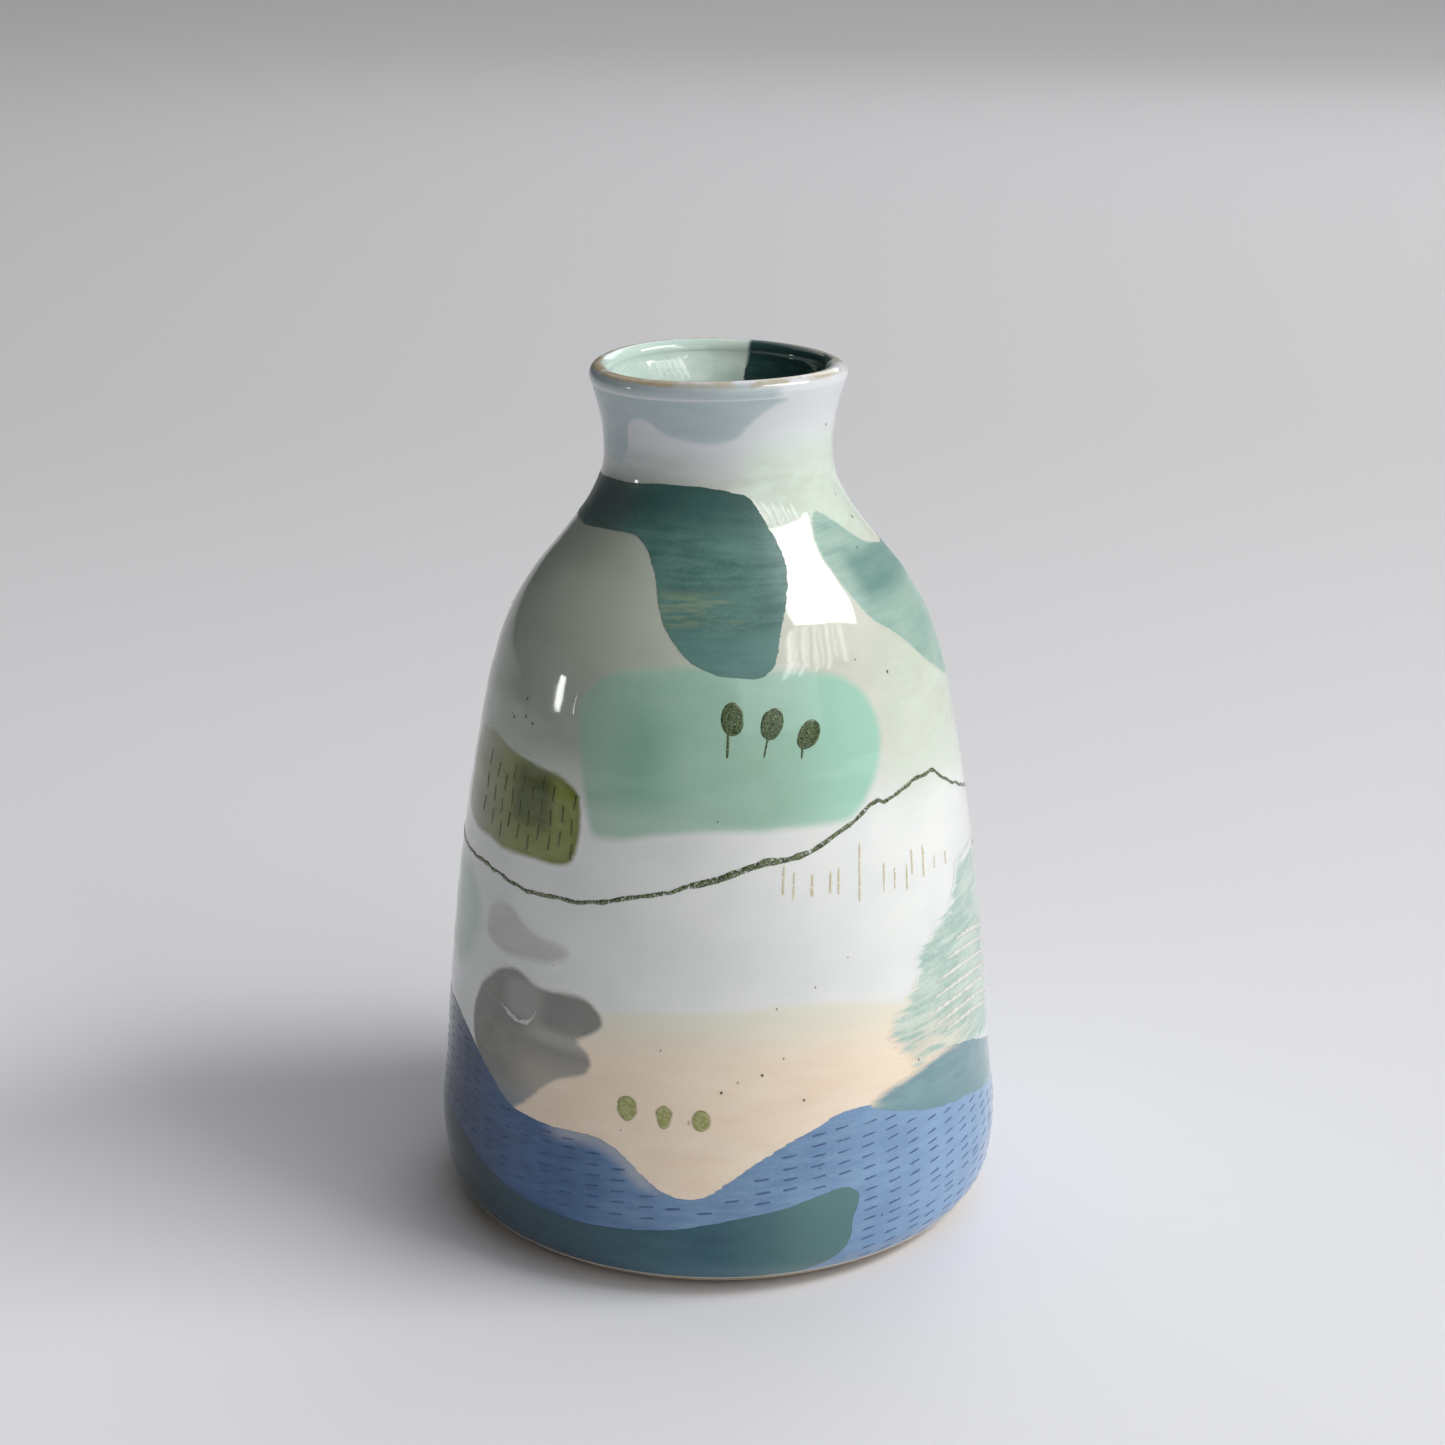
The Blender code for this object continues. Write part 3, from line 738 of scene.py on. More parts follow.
def slip_skin(name, stands_for, outline, look, lift=0.015, ragged=0.2, fringe=1.2,
              stations=OUTSIDE, facing=1, seed=1, whole_turn=False):
    """A skin inside the outline and `fringe` millimetres beyond it, where its shader hides it.

    The skin stands `lift` proud of the glaze, and its rim dives below the glaze as 3e^2 - 2e^3,
    where e goes from 0 near the rim to 1 about a millimetre in.
    """
    loop = rounded(outline)
    low, high = loop.min(axis=0), loop.max(axis=0)
    room = fringe + 1.0
    degree = np.pi / 180 * through(stations, (low[1] + high[1]) / 2)
    if whole_turn:
        azimuth = np.arange(-180, 180, 360 / 560)
    else:
        pad = room / degree
        count = int((high[0] - low[0] + 2 * pad) * degree / CELL)
        azimuth = np.linspace(low[0] - pad, high[0] + pad, count)
    rise = np.arange(max(low[1] - room, GLAZE_END), high[1] + room, CELL)
    azimuth, height = np.meshgrid(azimuth, rise)
    base = on_wall(azimuth, height, 0.0, stations, facing)
    depth = depth_inside(azimuth, height, loop, stations)
    depth = depth + ragged * unevenness(base * (0.6, 0.6, 1.0), 2.2, seed)
    edge = np.clip((depth + fringe - RIM_START) / RIM_WIDTH, 0, 1)
    proud = -DIVE + (DIVE + lift) * edge**2 * (3 - 2 * edge)
    points = on_wall(azimuth, height, proud, stations, facing)
    faces = grid_faces(*azimuth.shape, around=whole_turn)
    if facing < 0:
        faces = faces[:, ::-1]
    faces = faces[(depth.ravel()[faces] > -fringe).any(axis=1)]
    flat = points.reshape(-1, 3)
    return thicken(mesh_piece(name, flat, faces, look, [stands_for], depth.ravel()), SKIN)


print(f"a skin is {SKIN} mm thick, on cells of {CELL} mm")

# %% One slip finish


def slip_look(name, light, dark, size=1.3, stretch=4.0, fade=0.0, drag=0.25, bristle=0.5,
              seed=1.0, contrast=0.2, satin=0.0, cut=True, extra=None, beneath=ground_colour):
    """Brushed slip under gloss glaze, between a light and a dark shade of one colour.

    `fade` is how many millimetres the slip takes to thin out at its edge into the colour that
    `beneath` gives, `drag` how far bristles of a `bristle` width pull that edge sideways, and
    `contrast` how sharply its streaks change. `satin` is added to the roughness where a thick
    slip has dulled the glaze. Without a `cut`, the skin ends by sinking under the glaze.
    """
    look, shader, wire, place = begin(name, gloss=0.5 - satin)
    azimuth, height = round_and_up(wire, place)
    depth = wire.node("Attribute", {"attribute_name": "depth"}, out="Fac")
    streak = mottle(wire, place, size, stretch, detail=3.0, seed=seed)
    cloud = mottle(wire, place, size * 4, 1.6, seed=seed + 11)
    stipple = mottle(wire, place, 0.35, detail=1.0, seed=seed + 3)
    blend = streak * 0.5 + cloud * 0.4 + stipple * 0.2
    shade = blend.step(0.55 - contrast, 0.55 + contrast).tint(light, dark)
    pull = mottle(wire, place, bristle, 7.0, detail=2.0, seed=seed + 7)
    edge = depth + (pull - 0.5) * (2 * drag)
    if extra is not None:
        shade = extra(azimuth, height, shade, streak, edge)
    if fade:
        under = beneath(wire, place, azimuth, height)
        shade = edge.step(-fade / 2, fade / 2).tint(under, shade)
    cover = edge.step(-fade / 2 - 0.04, -fade / 2) if cut else None
    rough = cloud * 0.08 + (0.05 + satin)
    wave = mottle(wire, place, 2.4, 1.8, detail=1.0, seed=5.0)
    return finish_look(look, shader, wire, shade, rough, wave, 0.04, cover)


print("a slip's edge is read from its own depth attribute")

# %% [markdown]
# ## Sea and shore
#
# The sea goes all the way round, low on the wall, and the shore lies on it at the front left. The
# sea was brushed on over the sand, so its edge is the ragged one, and where the brush ran dry it
# leaves a thin greyish band along the sand.

# %% Sea
SEA_TOP = [
    (-180, 20.4), (-150, 21.5), (-120, 25.5), (-95, 28.4), (-85, 28.4), (-75, 29.4), (-70, 29.0),
    (-66, 28.3), (-62, 27.3), (-58, 26.0), (-54, 24.5), (-50, 22.7), (-46, 21.4), (-41, 21.0),
    (-33, 21.0), (-27, 21.3), (-22, 20.8), (-19, 19.5), (-16, 17.7), (-13, 16.0), (-9, 14.4),
    (-4, 14.1), (0, 15.6), (5, 18.0), (12, 20.8), (20, 23.3), (25, 24.5), (31, 24.6), (35, 23.7),
    (40, 22.8), (45, 21.7), (50, 20.8), (55, 20.2), (65, 19.0), (80, 16.6), (95, 15.2),
    (110, 14.5), (125, 16.0), (150, 20.0), (180, 20.4),
]
SEA_FOOT = 2.0

# The loop runs on past half a turn at both ends, so that no end of it lies on the wall.
before = [(a - 360, z) for a, z in SEA_TOP[-3:-1]]
after = [(a + 360, z) for a, z in SEA_TOP[1:3]]
sea_loop = [(before[0][0], SEA_FOOT), *before, *SEA_TOP, *after, (after[-1][0], SEA_FOOT)]


def sea_shading(azimuth, height, shade, streak, edge):
    """Painted shade deepens the left, painted light pales the right; a thin grey band edges the sand.
    """
    # Painted shade: the sea is painted deeper and greyer on the left, away from the window.
    deep = streak.step(0.3, 0.7).tint(colour(50, 94, 146), colour(36, 76, 124))
    shade = (azimuth.between(-150, -20, 16) * 0.92).tint(shade, deep)
    shade = (azimuth.between(-150, -52, 14) * 0.7).tint(shade, colour(48, 60, 86))
    # Painted light: the sea is painted paler on the right, towards the window.
    shade = (azimuth.between(30, 130, 22) * 0.5).tint(shade, colour(140, 171, 208))
    thin = azimuth.between(-35, -12, 4) * height.step(13, 16) * edge.step(2.4, 0.4)
    return (thin * 0.75).tint(shade, colour(172, 176, 184))


sea_blue = slip_look("blue sea slip", colour(126, 158, 190), colour(96, 130, 170), size=1.1,
                     stretch=5.0, drag=0.3, bristle=0.4, seed=2.0, extra=sea_shading)
slip_skin("sea_skin", "slip_blue_sea", sea_loop, sea_blue, lift=0.04, ragged=0.12,
          seed=2, whole_turn=True)

# %% Shore
shore_loop = [
    (-112, 2.2), (-109, 7.0), (-102, 11.5), (-90, 13.8), (-75, 14.0), (-65, 13.5), (-60, 12.6),
    (-50, 10.8), (-40, 9.4), (-30, 9.0), (-20, 9.2), (-10, 9.8), (0, 11.3), (5, 12.0), (10, 12.4),
    (15, 13.2), (20, 14.0), (25, 14.6), (28, 13.4), (28.2, 12.4), (27.5, 11.2), (26.5, 9.5),
    (26.8, 7.5), (26, 6.0), (24, 4.6), (20, 3.2), (14, 2.3), (-50, 2.1),
]


def shore_shading(azimuth, height, shade, streak, edge):
    """Bluer along the foot, painted shade towards the left, and painted light on its greener right
    end.
    """
    shade = (height.step(6.5, 2.5) * 0.45).tint(shade, colour(74, 118, 140))
    # Painted shade: darker and darker towards the left, away from the window.
    shade = (azimuth.step(-6, -34) * 0.65).tint(shade, colour(26, 58, 72))
    shade = (azimuth.step(-42, -62) * 0.6).tint(shade, colour(20, 34, 42))
    # Painted light: the right end, towards the window, is painted lighter.
    return (azimuth.step(-4, 22) * 0.8).tint(shade, colour(92, 130, 128))


shore_green = slip_look("dark sea-green slip", colour(50, 97, 112), colour(38, 80, 96),
                        size=1.6, stretch=3.5, drag=0.15, seed=3.0, extra=shore_shading)
slip_skin("shore_skin", "slip_green_shore", shore_loop, shore_green,
          lift=0.055, ragged=0.1, seed=3)

# %% [markdown]
# ## Sand and rock
#
# The sand was wiped thin along its top, where it fades into the ground, and its foot runs on under
# the sea. The rock was daubed over both with a wet brush, so its strokes overlap in lobes.

# %% Sand


def sand_shading(azimuth, height, shade, streak, edge):
    """The sand thins to cream along its top and is lighter on the right as painted light."""
    # Painted light: the sand is painted lighter on the right, towards the window.
    shade = (azimuth.step(10, 40) * 0.35).tint(shade, colour(240, 226, 204))
    return (height.step(31.0, 38.5) * 0.85).tint(shade, SAND_CREAM)


sand_peach = slip_look("warm sand slip", colour(245, 229, 208), colour(239, 217, 194), size=2.0,
                       fade=1.8, cut=False, seed=4.0, extra=sand_shading)
sand_loop = [
    (-47, 19.5), (-41, 18.5), (-33, 18.5), (-27, 18.8), (-22, 18.3), (-17, 15.5), (-12, 13),
    (-9, 11.9), (-4, 11.7), (0, 12.9), (5, 15.3), (12, 18.2), (20, 20.7), (30, 22.2), (38, 23),
    (46, 24), (52, 26), (52, 29), (49.5, 32.5), (43, 35.8), (35, 38.0), (25, 39.1), (15, 39.6),
    (5, 39.4), (-5, 39.0), (-15, 38.4), (-24, 37.7), (-36, 36.5), (-46, 32), (-50, 26),
]
slip_skin("sand_skin", "slip_peach_sand", sand_loop, sand_peach, fringe=2.0, seed=4)

# %% Rock


def rock_shading(azimuth, height, shade, streak, edge):
    """Overlapping wet strokes: a dark lobe at the upper right, a wiped hollow, a thin foot."""
    lobe = azimuth.between(-38.5, -24, 2.2) * height.between(35.0, 39.0, 0.9)
    shade = (lobe * 0.7).tint(shade, colour(128, 130, 126))
    hollow = azimuth.between(-49, -39, 3) * height.between(34.0, 39.0, 1.2)
    shade = (hollow * 0.5).tint(shade, colour(176, 178, 174))
    gap = azimuth.between(-42, -25, 4.0) * height.between(31.8, 33.8, 0.9)
    shade = (gap * 0.6).tint(shade, colour(186, 184, 174))
    shade = (height.step(33, 27) * azimuth.step(-52, -38) * 0.7).tint(shade, colour(182, 176, 162))
    return (height.step(26, 22) * 0.6).tint(shade, colour(126, 138, 152))


rock_grey = slip_look("grey rock slip", colour(143, 142, 135), colour(123, 123, 118), size=1.8,
                      stretch=2.0, fade=0.8, drag=0.2, seed=5.0, extra=rock_shading,
                      beneath=sandy_ground)
rock_loop = [
    (-62, 30.0), (-61, 33.5), (-58.5, 36.0), (-55, 37.6), (-51, 39.5), (-47, 40.4), (-44, 40.0),
    (-41, 38.9), (-37, 38.7), (-33, 39.3), (-28, 39.1), (-25.4, 38.2), (-23.6, 36.8), (-24, 35.6),
    (-27, 34.4), (-30, 33.5), (-28.8, 32.7), (-26.6, 31.9), (-26, 30.4), (-28, 28.8), (-34, 27.4),
    (-37, 26.0), (-39, 24.8), (-42, 23.2), (-45, 21.6), (-50, 20.5), (-54, 20.8), (-56, 23.0),
    (-58, 25.5), (-61, 27.5),
]
slip_skin("rock_skin", "slip_grey_rock", rock_loop, rock_grey, lift=0.03, seed=5)

# %% [markdown]
# ## Cloud, meadow, field and panel
#
# These lie on the open ground. The cloud and the meadow are little more than stains. The field
# was laid on thick at its right end, and the panel behind the trees is two overlapping strokes.

# %% Cloud and meadow
cloud_grey = slip_look("thin grey wash", colour(204, 206, 202), colour(188, 191, 187), size=1.6,
                       fade=1.3, cut=False, seed=6.0)
cloud_loop = [
    (-58.5, 44), (-58, 47.0), (-50, 48.2), (-45, 46.4), (-40, 45.3), (-33, 44.9), (-32, 44.1),
    (-36, 43.0), (-42, 42.0), (-46, 41.3), (-52, 41.7), (-58, 42.6),
]
slip_skin("cloud_skin", "slip_grey_cloud", cloud_loop, cloud_grey, fringe=1.9,
          ragged=0.4, seed=6)

meadow_mint = slip_look("mint meadow slip", colour(198, 214, 202), colour(176, 200, 188), size=2.0,
                        fade=3.4, cut=False, seed=7.0)
meadow_loop = [
    (-113, 41), (-104, 36.5), (-85, 34.5), (-72, 35.6), (-65, 38), (-61, 43), (-62, 47.5),
    (-70, 49.6), (-85, 50.0), (-102, 48.3), (-112, 44),
]
slip_skin("meadow_skin", "slip_mint_meadow", meadow_loop, meadow_mint,
          fringe=3.0, ragged=0.5, seed=7)

# %% Field


def field_shading(azimuth, height, shade, streak, edge):
    """The field is thick and dark at its right end, and thin and pale towards the left."""
    shade = (azimuth.step(-48, -72) * 0.85).tint(shade, colour(132, 139, 108))
    core = azimuth.between(-53, -40, 2.5) * height.between(59, 67, 1.5)
    shade = (core * (0.65 + 0.35 * streak)).tint(shade, colour(66, 78, 20))
    return (edge.step(1.4, 0.3) * azimuth.step(-45, -36) * 0.5).tint(shade, colour(104, 112, 44))


field_olive = slip_look("olive field slip", colour(138, 148, 80), colour(114, 125, 54), size=1.2,
                        stretch=3.0, fade=0.9, cut=False, seed=8.0, extra=field_shading)
field_loop = [
    (-80, 57), (-80, 66.5), (-75, 68.0), (-66, 68.3), (-60, 67.8), (-52, 67.1), (-45, 66.8),
    (-38, 66.3), (-34, 65.4), (-31.7, 64.2), (-31.3, 60), (-32, 57), (-34, 55.4), (-45, 54.8),
    (-66, 55.0), (-76, 55.5),
]
slip_skin("field_skin", "slip_olive_field", field_loop, field_olive, fringe=1.6,
          seed=8)

# %% The mint panel behind the trees


def panel_shading(azimuth, height, shade, streak, edge):
    """A second stroke crosses the left part; painted shade greys the left, painted light lifts the
    right.
    """
    overlap = azimuth.between(-24, -12, 6) * height.between(64, 76, 5)
    shade = (overlap * 0.6).tint(shade, colour(124, 170, 148))
    # Partly a thinner stroke and partly painted shade: the left end greys.
    shade = (azimuth.step(-18, -32) * 0.5).tint(shade, colour(154, 176, 160))
    shade = (height.step(66, 62.5) * azimuth.step(10, -6) * 0.4).tint(shade, colour(184, 204, 192))
    # Painted light: the right end, towards the window, is painted lighter.
    return (azimuth.step(10, 34) * 0.8).tint(shade, colour(164, 211, 192))


panel_mint = slip_look("mint slip", colour(166, 200, 183), colour(154, 191, 172), size=2.4,
                       stretch=3.5, fade=1.5, cut=False, seed=9.0, extra=panel_shading)
panel_loop = [
    (-35, 75), (-33.5, 77.5), (-30, 78.9), (-25, 80.1), (-15, 81.0), (-5, 81.4), (5, 81), (15, 80.6),
    (25, 80.1), (32, 79.3), (37, 77.6), (40, 75.2), (41.6, 72.0), (41, 69.0), (39, 66.5),
    (36, 64.4), (32.5, 62.5), (28, 61.8), (15, 61.7), (0, 62.0), (-8, 61.6), (-15, 61.0),
    (-22, 60.0), (-28.5, 59.6), (-30, 62), (-33, 68),
]
slip_skin("panel_skin", "slip_mint_panel", panel_loop, panel_mint, fringe=1.9, seed=9)

# %% [markdown]
# ## The shoulder's two teals
#
# Level strokes of a loaded brush went round the shoulder as the pot turned. The first is dense,
# with a clean edge. The second is thin, and its middle stroke was gone over twice.

# %% Teal shoulder


def shoulder_shading(azimuth, height, shade, streak, edge):
    """Level strokes: darkest on top, buff-green streaks half way down, bluer at the foot."""
    shade = (height.step(93.5, 99) * 0.75).tint(shade, colour(48, 82, 79))
    buff = height.between(85.5, 89, 1.0) * azimuth.between(-20, 8, 5) * streak.step(0.42, 0.6)
    shade = (buff * 0.7).tint(shade, colour(140, 158, 132))
    shade = (height.between(79, 85, 1.2) * 0.5).tint(shade, colour(102, 140, 136))
    # Painted shade: on the left, away from the window, the teal is painted a duller grey.
    return (azimuth.step(-34, -50) * 0.65).tint(shade, colour(82, 92, 90))


shoulder_teal = slip_look("dark teal slip", colour(100, 136, 130), colour(70, 107, 101),
                          size=0.75, stretch=9.0, satin=0.26, seed=10.0, extra=shoulder_shading)
shoulder_loop = [
    (-126, 97), (-120, 98.5), (-85, 99.7), (-50, 100.4), (-30, 100.8), (-15, 101.0), (0, 100.6),
    (10, 100.1), (16, 99.4), (19, 97.8), (22, 96.0), (24.6, 93.6), (25, 92.0), (23.6, 89.6),
    (21, 87.4), (19, 85.8), (17, 84.2), (15.5, 82.2), (14, 80.6), (10, 79.8), (5, 80.0),
    (0, 80.3), (-4, 81.0), (-8, 82.0), (-12, 84.0), (-16, 86.0), (-19, 88.5), (-22, 91.0),
    (-26, 93.0), (-31, 94.4), (-38, 95.0), (-50, 94.6), (-85, 94.0), (-120, 94.6),
]
slip_skin("shoulder_skin", "slip_teal_shoulder", shoulder_loop, shoulder_teal,
          lift=0.045, ragged=0.15, seed=10)

# %% Teal headland


def headland_shading(azimuth, height, shade, streak, edge):
    """A darker stroke along the middle, with thinner and greener slip above and below it."""
    spine = azimuth.step(46, 56) * height.between(86.3, 91.4, 1.2)
    shade = (spine * (0.6 + 0.4 * streak)).tint(shade, colour(98, 138, 132))
    arcs = streak.step(0.52, 0.62) * height.step(90, 92.5)
    return (arcs * 0.4).tint(shade, colour(122, 158, 149))


headland_teal = slip_look("thin teal slip", colour(164, 189, 178), colour(141, 172, 161),
                          size=0.9, stretch=8.0, fade=0.5, satin=0.26, seed=11.0,
                          extra=headland_shading)
headland_loop = [
    (41, 93), (44, 95.6), (48, 97.0), (53, 96.3), (58, 95.2), (64, 93.6), (70, 91.8), (78, 91.0),
    (90, 90.4), (105, 90.2), (120, 89.2), (131, 86), (120, 77), (108, 73), (95, 72.0), (84, 73.0),
    (76, 74.7), (70, 76.5), (64, 79.0), (58, 81.4), (52, 83.3), (48, 84.5), (45, 87.0),
    (42.5, 90.0),
]
slip_skin("headland_skin", "slip_teal_headland", headland_loop, headland_teal,
          seed=11)

# %% [markdown]
# ## The cliff and the inlet on the right
#
# The cliff is a dry brush dragged level, so its left edge breaks up into long teeth. The inlet is
# a single wetter stroke below it, over the edge of the sea.

# %% Cliff and inlet


def cliff_shading(azimuth, height, shade, streak, edge):
    """The sand shows through the cliff's foot."""
    through_foot = height.step(36, 28) * azimuth.step(75, 50) * streak.step(0.65, 0.45)
    return (through_foot * 0.8).tint(shade, colour(226, 214, 196))


cliff_mint = slip_look("pale mint slip", colour(200, 215, 206), colour(158, 186, 176), size=0.9,
                       stretch=8.0, fade=1.4, drag=2.2, bristle=0.8, seed=12.0, contrast=0.14,
                       extra=cliff_shading, beneath=sandy_ground)
cliff_loop = [
    (37.0, 33.0), (38.0, 34.2), (42, 35.4), (44.5, 37), (45.6, 39), (47, 41.6), (50, 43.3), (53, 44.3),
    (57, 44.8), (60, 45.8), (62, 48.0), (65, 50.2), (70, 50.8), (85, 49.4), (100, 47), (116, 42),
    (127, 34), (118, 25), (100, 22.4), (85, 22.6), (72, 25), (60, 26), (50, 26.6), (45, 27.4),
    (41, 30),
]
slip_skin("cliff_skin", "slip_mint_cliff", cliff_loop, cliff_mint, lift=0.03,
          fringe=2.6, seed=12)


def inlet_shading(azimuth, height, shade, streak, edge):
    """Thin along its top left, where the sand shows through, and darker along its foot."""
    shade = (height.step(24.5, 21) * 0.5).tint(shade, colour(104, 140, 146))
    thin = edge.step(1.1, 0.0) * azimuth.step(62, 50) * height.step(23.4, 24.8)
    return (thin * 0.85).tint(shade, SAND)


inlet_teal = slip_look("grey-teal slip", colour(128, 160, 167), colour(108, 141, 150), size=0.9,
                       stretch=7.0, drag=0.35, seed=13.0, extra=inlet_shading)
inlet_loop = [
    (30.5, 24.4), (33, 25.4), (36, 26.1), (40, 26.5), (45, 27.3), (50, 27.9), (57, 27.6), (63, 26.4),
    (70, 25.0), (85, 21.0), (98, 17), (85, 15.7), (78, 16.6), (70, 17.9), (60, 19.2), (50, 20.3),
    (45, 21.2), (40, 22.3), (35, 23.3),
]
slip_skin("inlet_skin", "slip_teal_inlet", inlet_loop, inlet_teal, lift=0.05,
          ragged=0.12, seed=13)

# %% [markdown]
# ## The lip and the inside of the neck
#
# The lip was dabbed with blue-grey, and two slips run down inside the neck, where they show
# through the mouth. Their skins face the axis, so their grids are turned inside out.

# %% Lip and neck
lip_blue = slip_look("blue-grey slip", colour(186, 199, 202), colour(170, 186, 190), size=1.2,
                     stretch=5.0, fade=0.8, seed=14.0)
lip_loop = [
    (-132, 109), (-126, 104.6), (-115, 103.6), (-100, 103.2), (-65, 102.6), (-55, 103.0),
    (-49, 104), (-47.5, 107.6), (-44, 108.4), (-38, 108.8), (-33, 108.5), (-28, 107.5),
    (-20, 106.6), (-10, 106.2), (0, 106.1), (7, 106.5), (12, 107.5), (17, 109.0), (22, 110.2),
    (28, 111.0), (35, 111.6), (30, 112.0), (10, 112.1), (-60, 112.1), (-120, 112.0),
]
slip_skin("lip_skin", "slip_lip_blue_grey", lip_loop, lip_blue, seed=14)

inner_teal = slip_look("dark inner teal", colour(52, 84, 82), colour(34, 60, 60), size=0.8,
                       seed=15.0)
inner_teal_loop = [
    (96, 110.5), (98, 105), (105, 103.4), (140, 103.2), (158, 103.8), (163, 106), (163.5, 110.5),
    (160, 111.8), (100, 111.8),
]
slip_skin("inner_teal_skin", "slip_inside_teal", inner_teal_loop, inner_teal,
          lift=0.05, stations=INSIDE, facing=-1, seed=15)
inner_mint = slip_look("pale inner mint", colour(212, 230, 222), colour(190, 213, 204), size=0.8,
                       seed=16.0)
inner_mint_loop = [
    (166, 110), (167.5, 107.4), (200, 106.8), (240, 105.2), (285, 104.6), (293, 107),
    (290, 111.4), (240, 111.9), (170, 111.6),
]
slip_skin("inner_mint_skin", "slip_inside_mint", inner_mint_loop, inner_mint,
          lift=0.05, stations=INSIDE, facing=-1, seed=16)

# %% [markdown]
# ## The fields behind
#
# The painting goes on round the back in the same manner. What is there is a guess: one more
# stretch of sand, one more field and one more mint panel, in the same slips.

# %% Behind
back_sand_loop = [
    (166, 20), (172, 28), (182, 33), (200, 36.2), (225, 35.8), (241, 33.4), (251, 30.2), (250, 27),
    (240, 24.4), (225, 21.6), (210, 19.8), (180, 18.2), (168, 18),
]
slip_skin("back_sand_skin", "slip_back_sand", back_sand_loop, sand_peach,
          fringe=2.0, seed=17)
back_olive = slip_look("olive slip behind", colour(150, 154, 100), colour(114, 122, 64), size=1.2,
                       stretch=3.0, fade=0.8, cut=False, seed=18.0)
back_field_loop = [
    (134, 58), (137, 64), (146, 66), (157, 66.2), (164, 65), (166.5, 60), (164, 55), (155, 53),
    (140, 53.6),
]
slip_skin("back_field_skin", "slip_back_field", back_field_loop, back_olive,
          fringe=1.6, seed=18)
back_mint = slip_look("mint slip behind", colour(178, 209, 193), colour(158, 196, 178), size=2.0,
                      stretch=3.5, fade=2.0, cut=False, seed=19.0)
back_panel_loop = [
    (175, 70), (178, 77), (190, 79), (210, 79.4), (228, 78), (235, 71), (231, 63), (215, 60.6),
    (195, 60), (180, 61.5),
]
slip_skin("back_panel_skin", "slip_back_panel", back_panel_loop, back_mint,
          fringe=2.2, seed=19)

# %% [markdown]
# ## Drawn and scratched marks
#
# Over the slips the potter drew a horizon with an underglaze pencil, scribbled three trees, dotted
# the sand, dashed the sea and the field, and scratched the cliff. Drawn as textures, such thin
# marks would blur. Here each one is a low ridge of pigment along its own centre line, so it
# keeps a crisp edge from near by, and noise along the line gives the drag of the hand.

# %% Strokes
STROKE_BODY = 0.15
STROKE_LIFT = 0.085
STROKE_DIVE = 0.02


def strokes(name, paths, half_width, look, across=5, taper=6, seed=1):
    """Low ridges along centre lines, a (strokes, points, 2) array of azimuths and heights.

    Across a stroke the lift falls as 1 - s^4 and dives at both sides. Along it the width falls as
    the root of 1 - t^taper, so that 2 gives an oval dab, 6 a blunt dash and 60 an even line.
    """
    paths = np.asarray(paths, float)
    many, length = paths.shape[:2]
    degree = through(OUTSIDE, paths[..., 1]) * np.pi / 180
    ahead = np.gradient(paths, axis=1) * np.stack([degree, np.ones_like(degree)], axis=-1)
    ahead = ahead / np.linalg.norm(ahead, axis=-1, keepdims=True)
    spot = on_wall(paths[..., 0], paths[..., 1])
    t = np.linspace(-0.999, 0.999, length)
    width = half_width * np.sqrt(1 - t**taper) * (1 + 0.3 * unevenness(spot, 0.8, seed))
    s = np.linspace(-1, 1, across)
    azimuth = paths[..., :1] + s * (width * ahead[..., 1] / degree)[..., None]
    height = paths[..., 1:] - s * (width * ahead[..., 0])[..., None]
    lift = STROKE_LIFT - (STROKE_LIFT + STROKE_DIVE) * s**4
    points = on_wall(azimuth, height, lift).reshape(-1, 3)
    depth = (width[..., None] * (1 - abs(s))).ravel()
    faces = grid_faces(length, across) + (np.arange(many) * length * across)[:, None, None]
    piece = mesh_piece(name, points, faces.reshape(-1, 4), look, depth=depth)
    return thicken(piece, STROKE_BODY)


def drawn_look(name, dark, light, grain=0.3, seed=1.0, share=0.5, soft=0.12, body=1.0):
    """Dry pigment: grains in two shades, which leave some of what is under them bare.

    `share` is how much of the stroke is covered, `body` how solid the pigment is where it does
    cover, and `soft` the fading of its sides in millimetres.
    """
    look, shader, wire, place = begin(name)
    depth = wire.node("Attribute", {"attribute_name": "depth"}, out="Fac")
    speckle = mottle(wire, place, grain, seed=seed)
    shade = speckle.step(0.40, 0.60).tint(dark, light)
    tooth = mottle(wire, place, grain * 0.8, detail=1.0, seed=seed + 4)
    cover = tooth.step(0.5 + share / 2, 0.42 + share / 2) * depth.step(0.0, soft) * body
    return finish_look(look, shader, wire, shade, speckle * 0.1 + 0.06, cover=cover)


def straight_lines(starts, ends, points=9):
    """Centre lines from each start to each end, with the same number of points in all of them."""
    starts, ends = np.asarray(starts, float), np.asarray(ends, float)
    share = np.linspace(0, 1, points)[:, None]
    return starts[:, None] * (1 - share) + ends[:, None] * share


print(f"a stroke stands {STROKE_LIFT} mm proud along its centre")

# %% [markdown]
# The horizon is one line all the way round, pressed hardest near the front. A tube round a curve
# would stand off the wall, so the line is a ribbon laid on it.

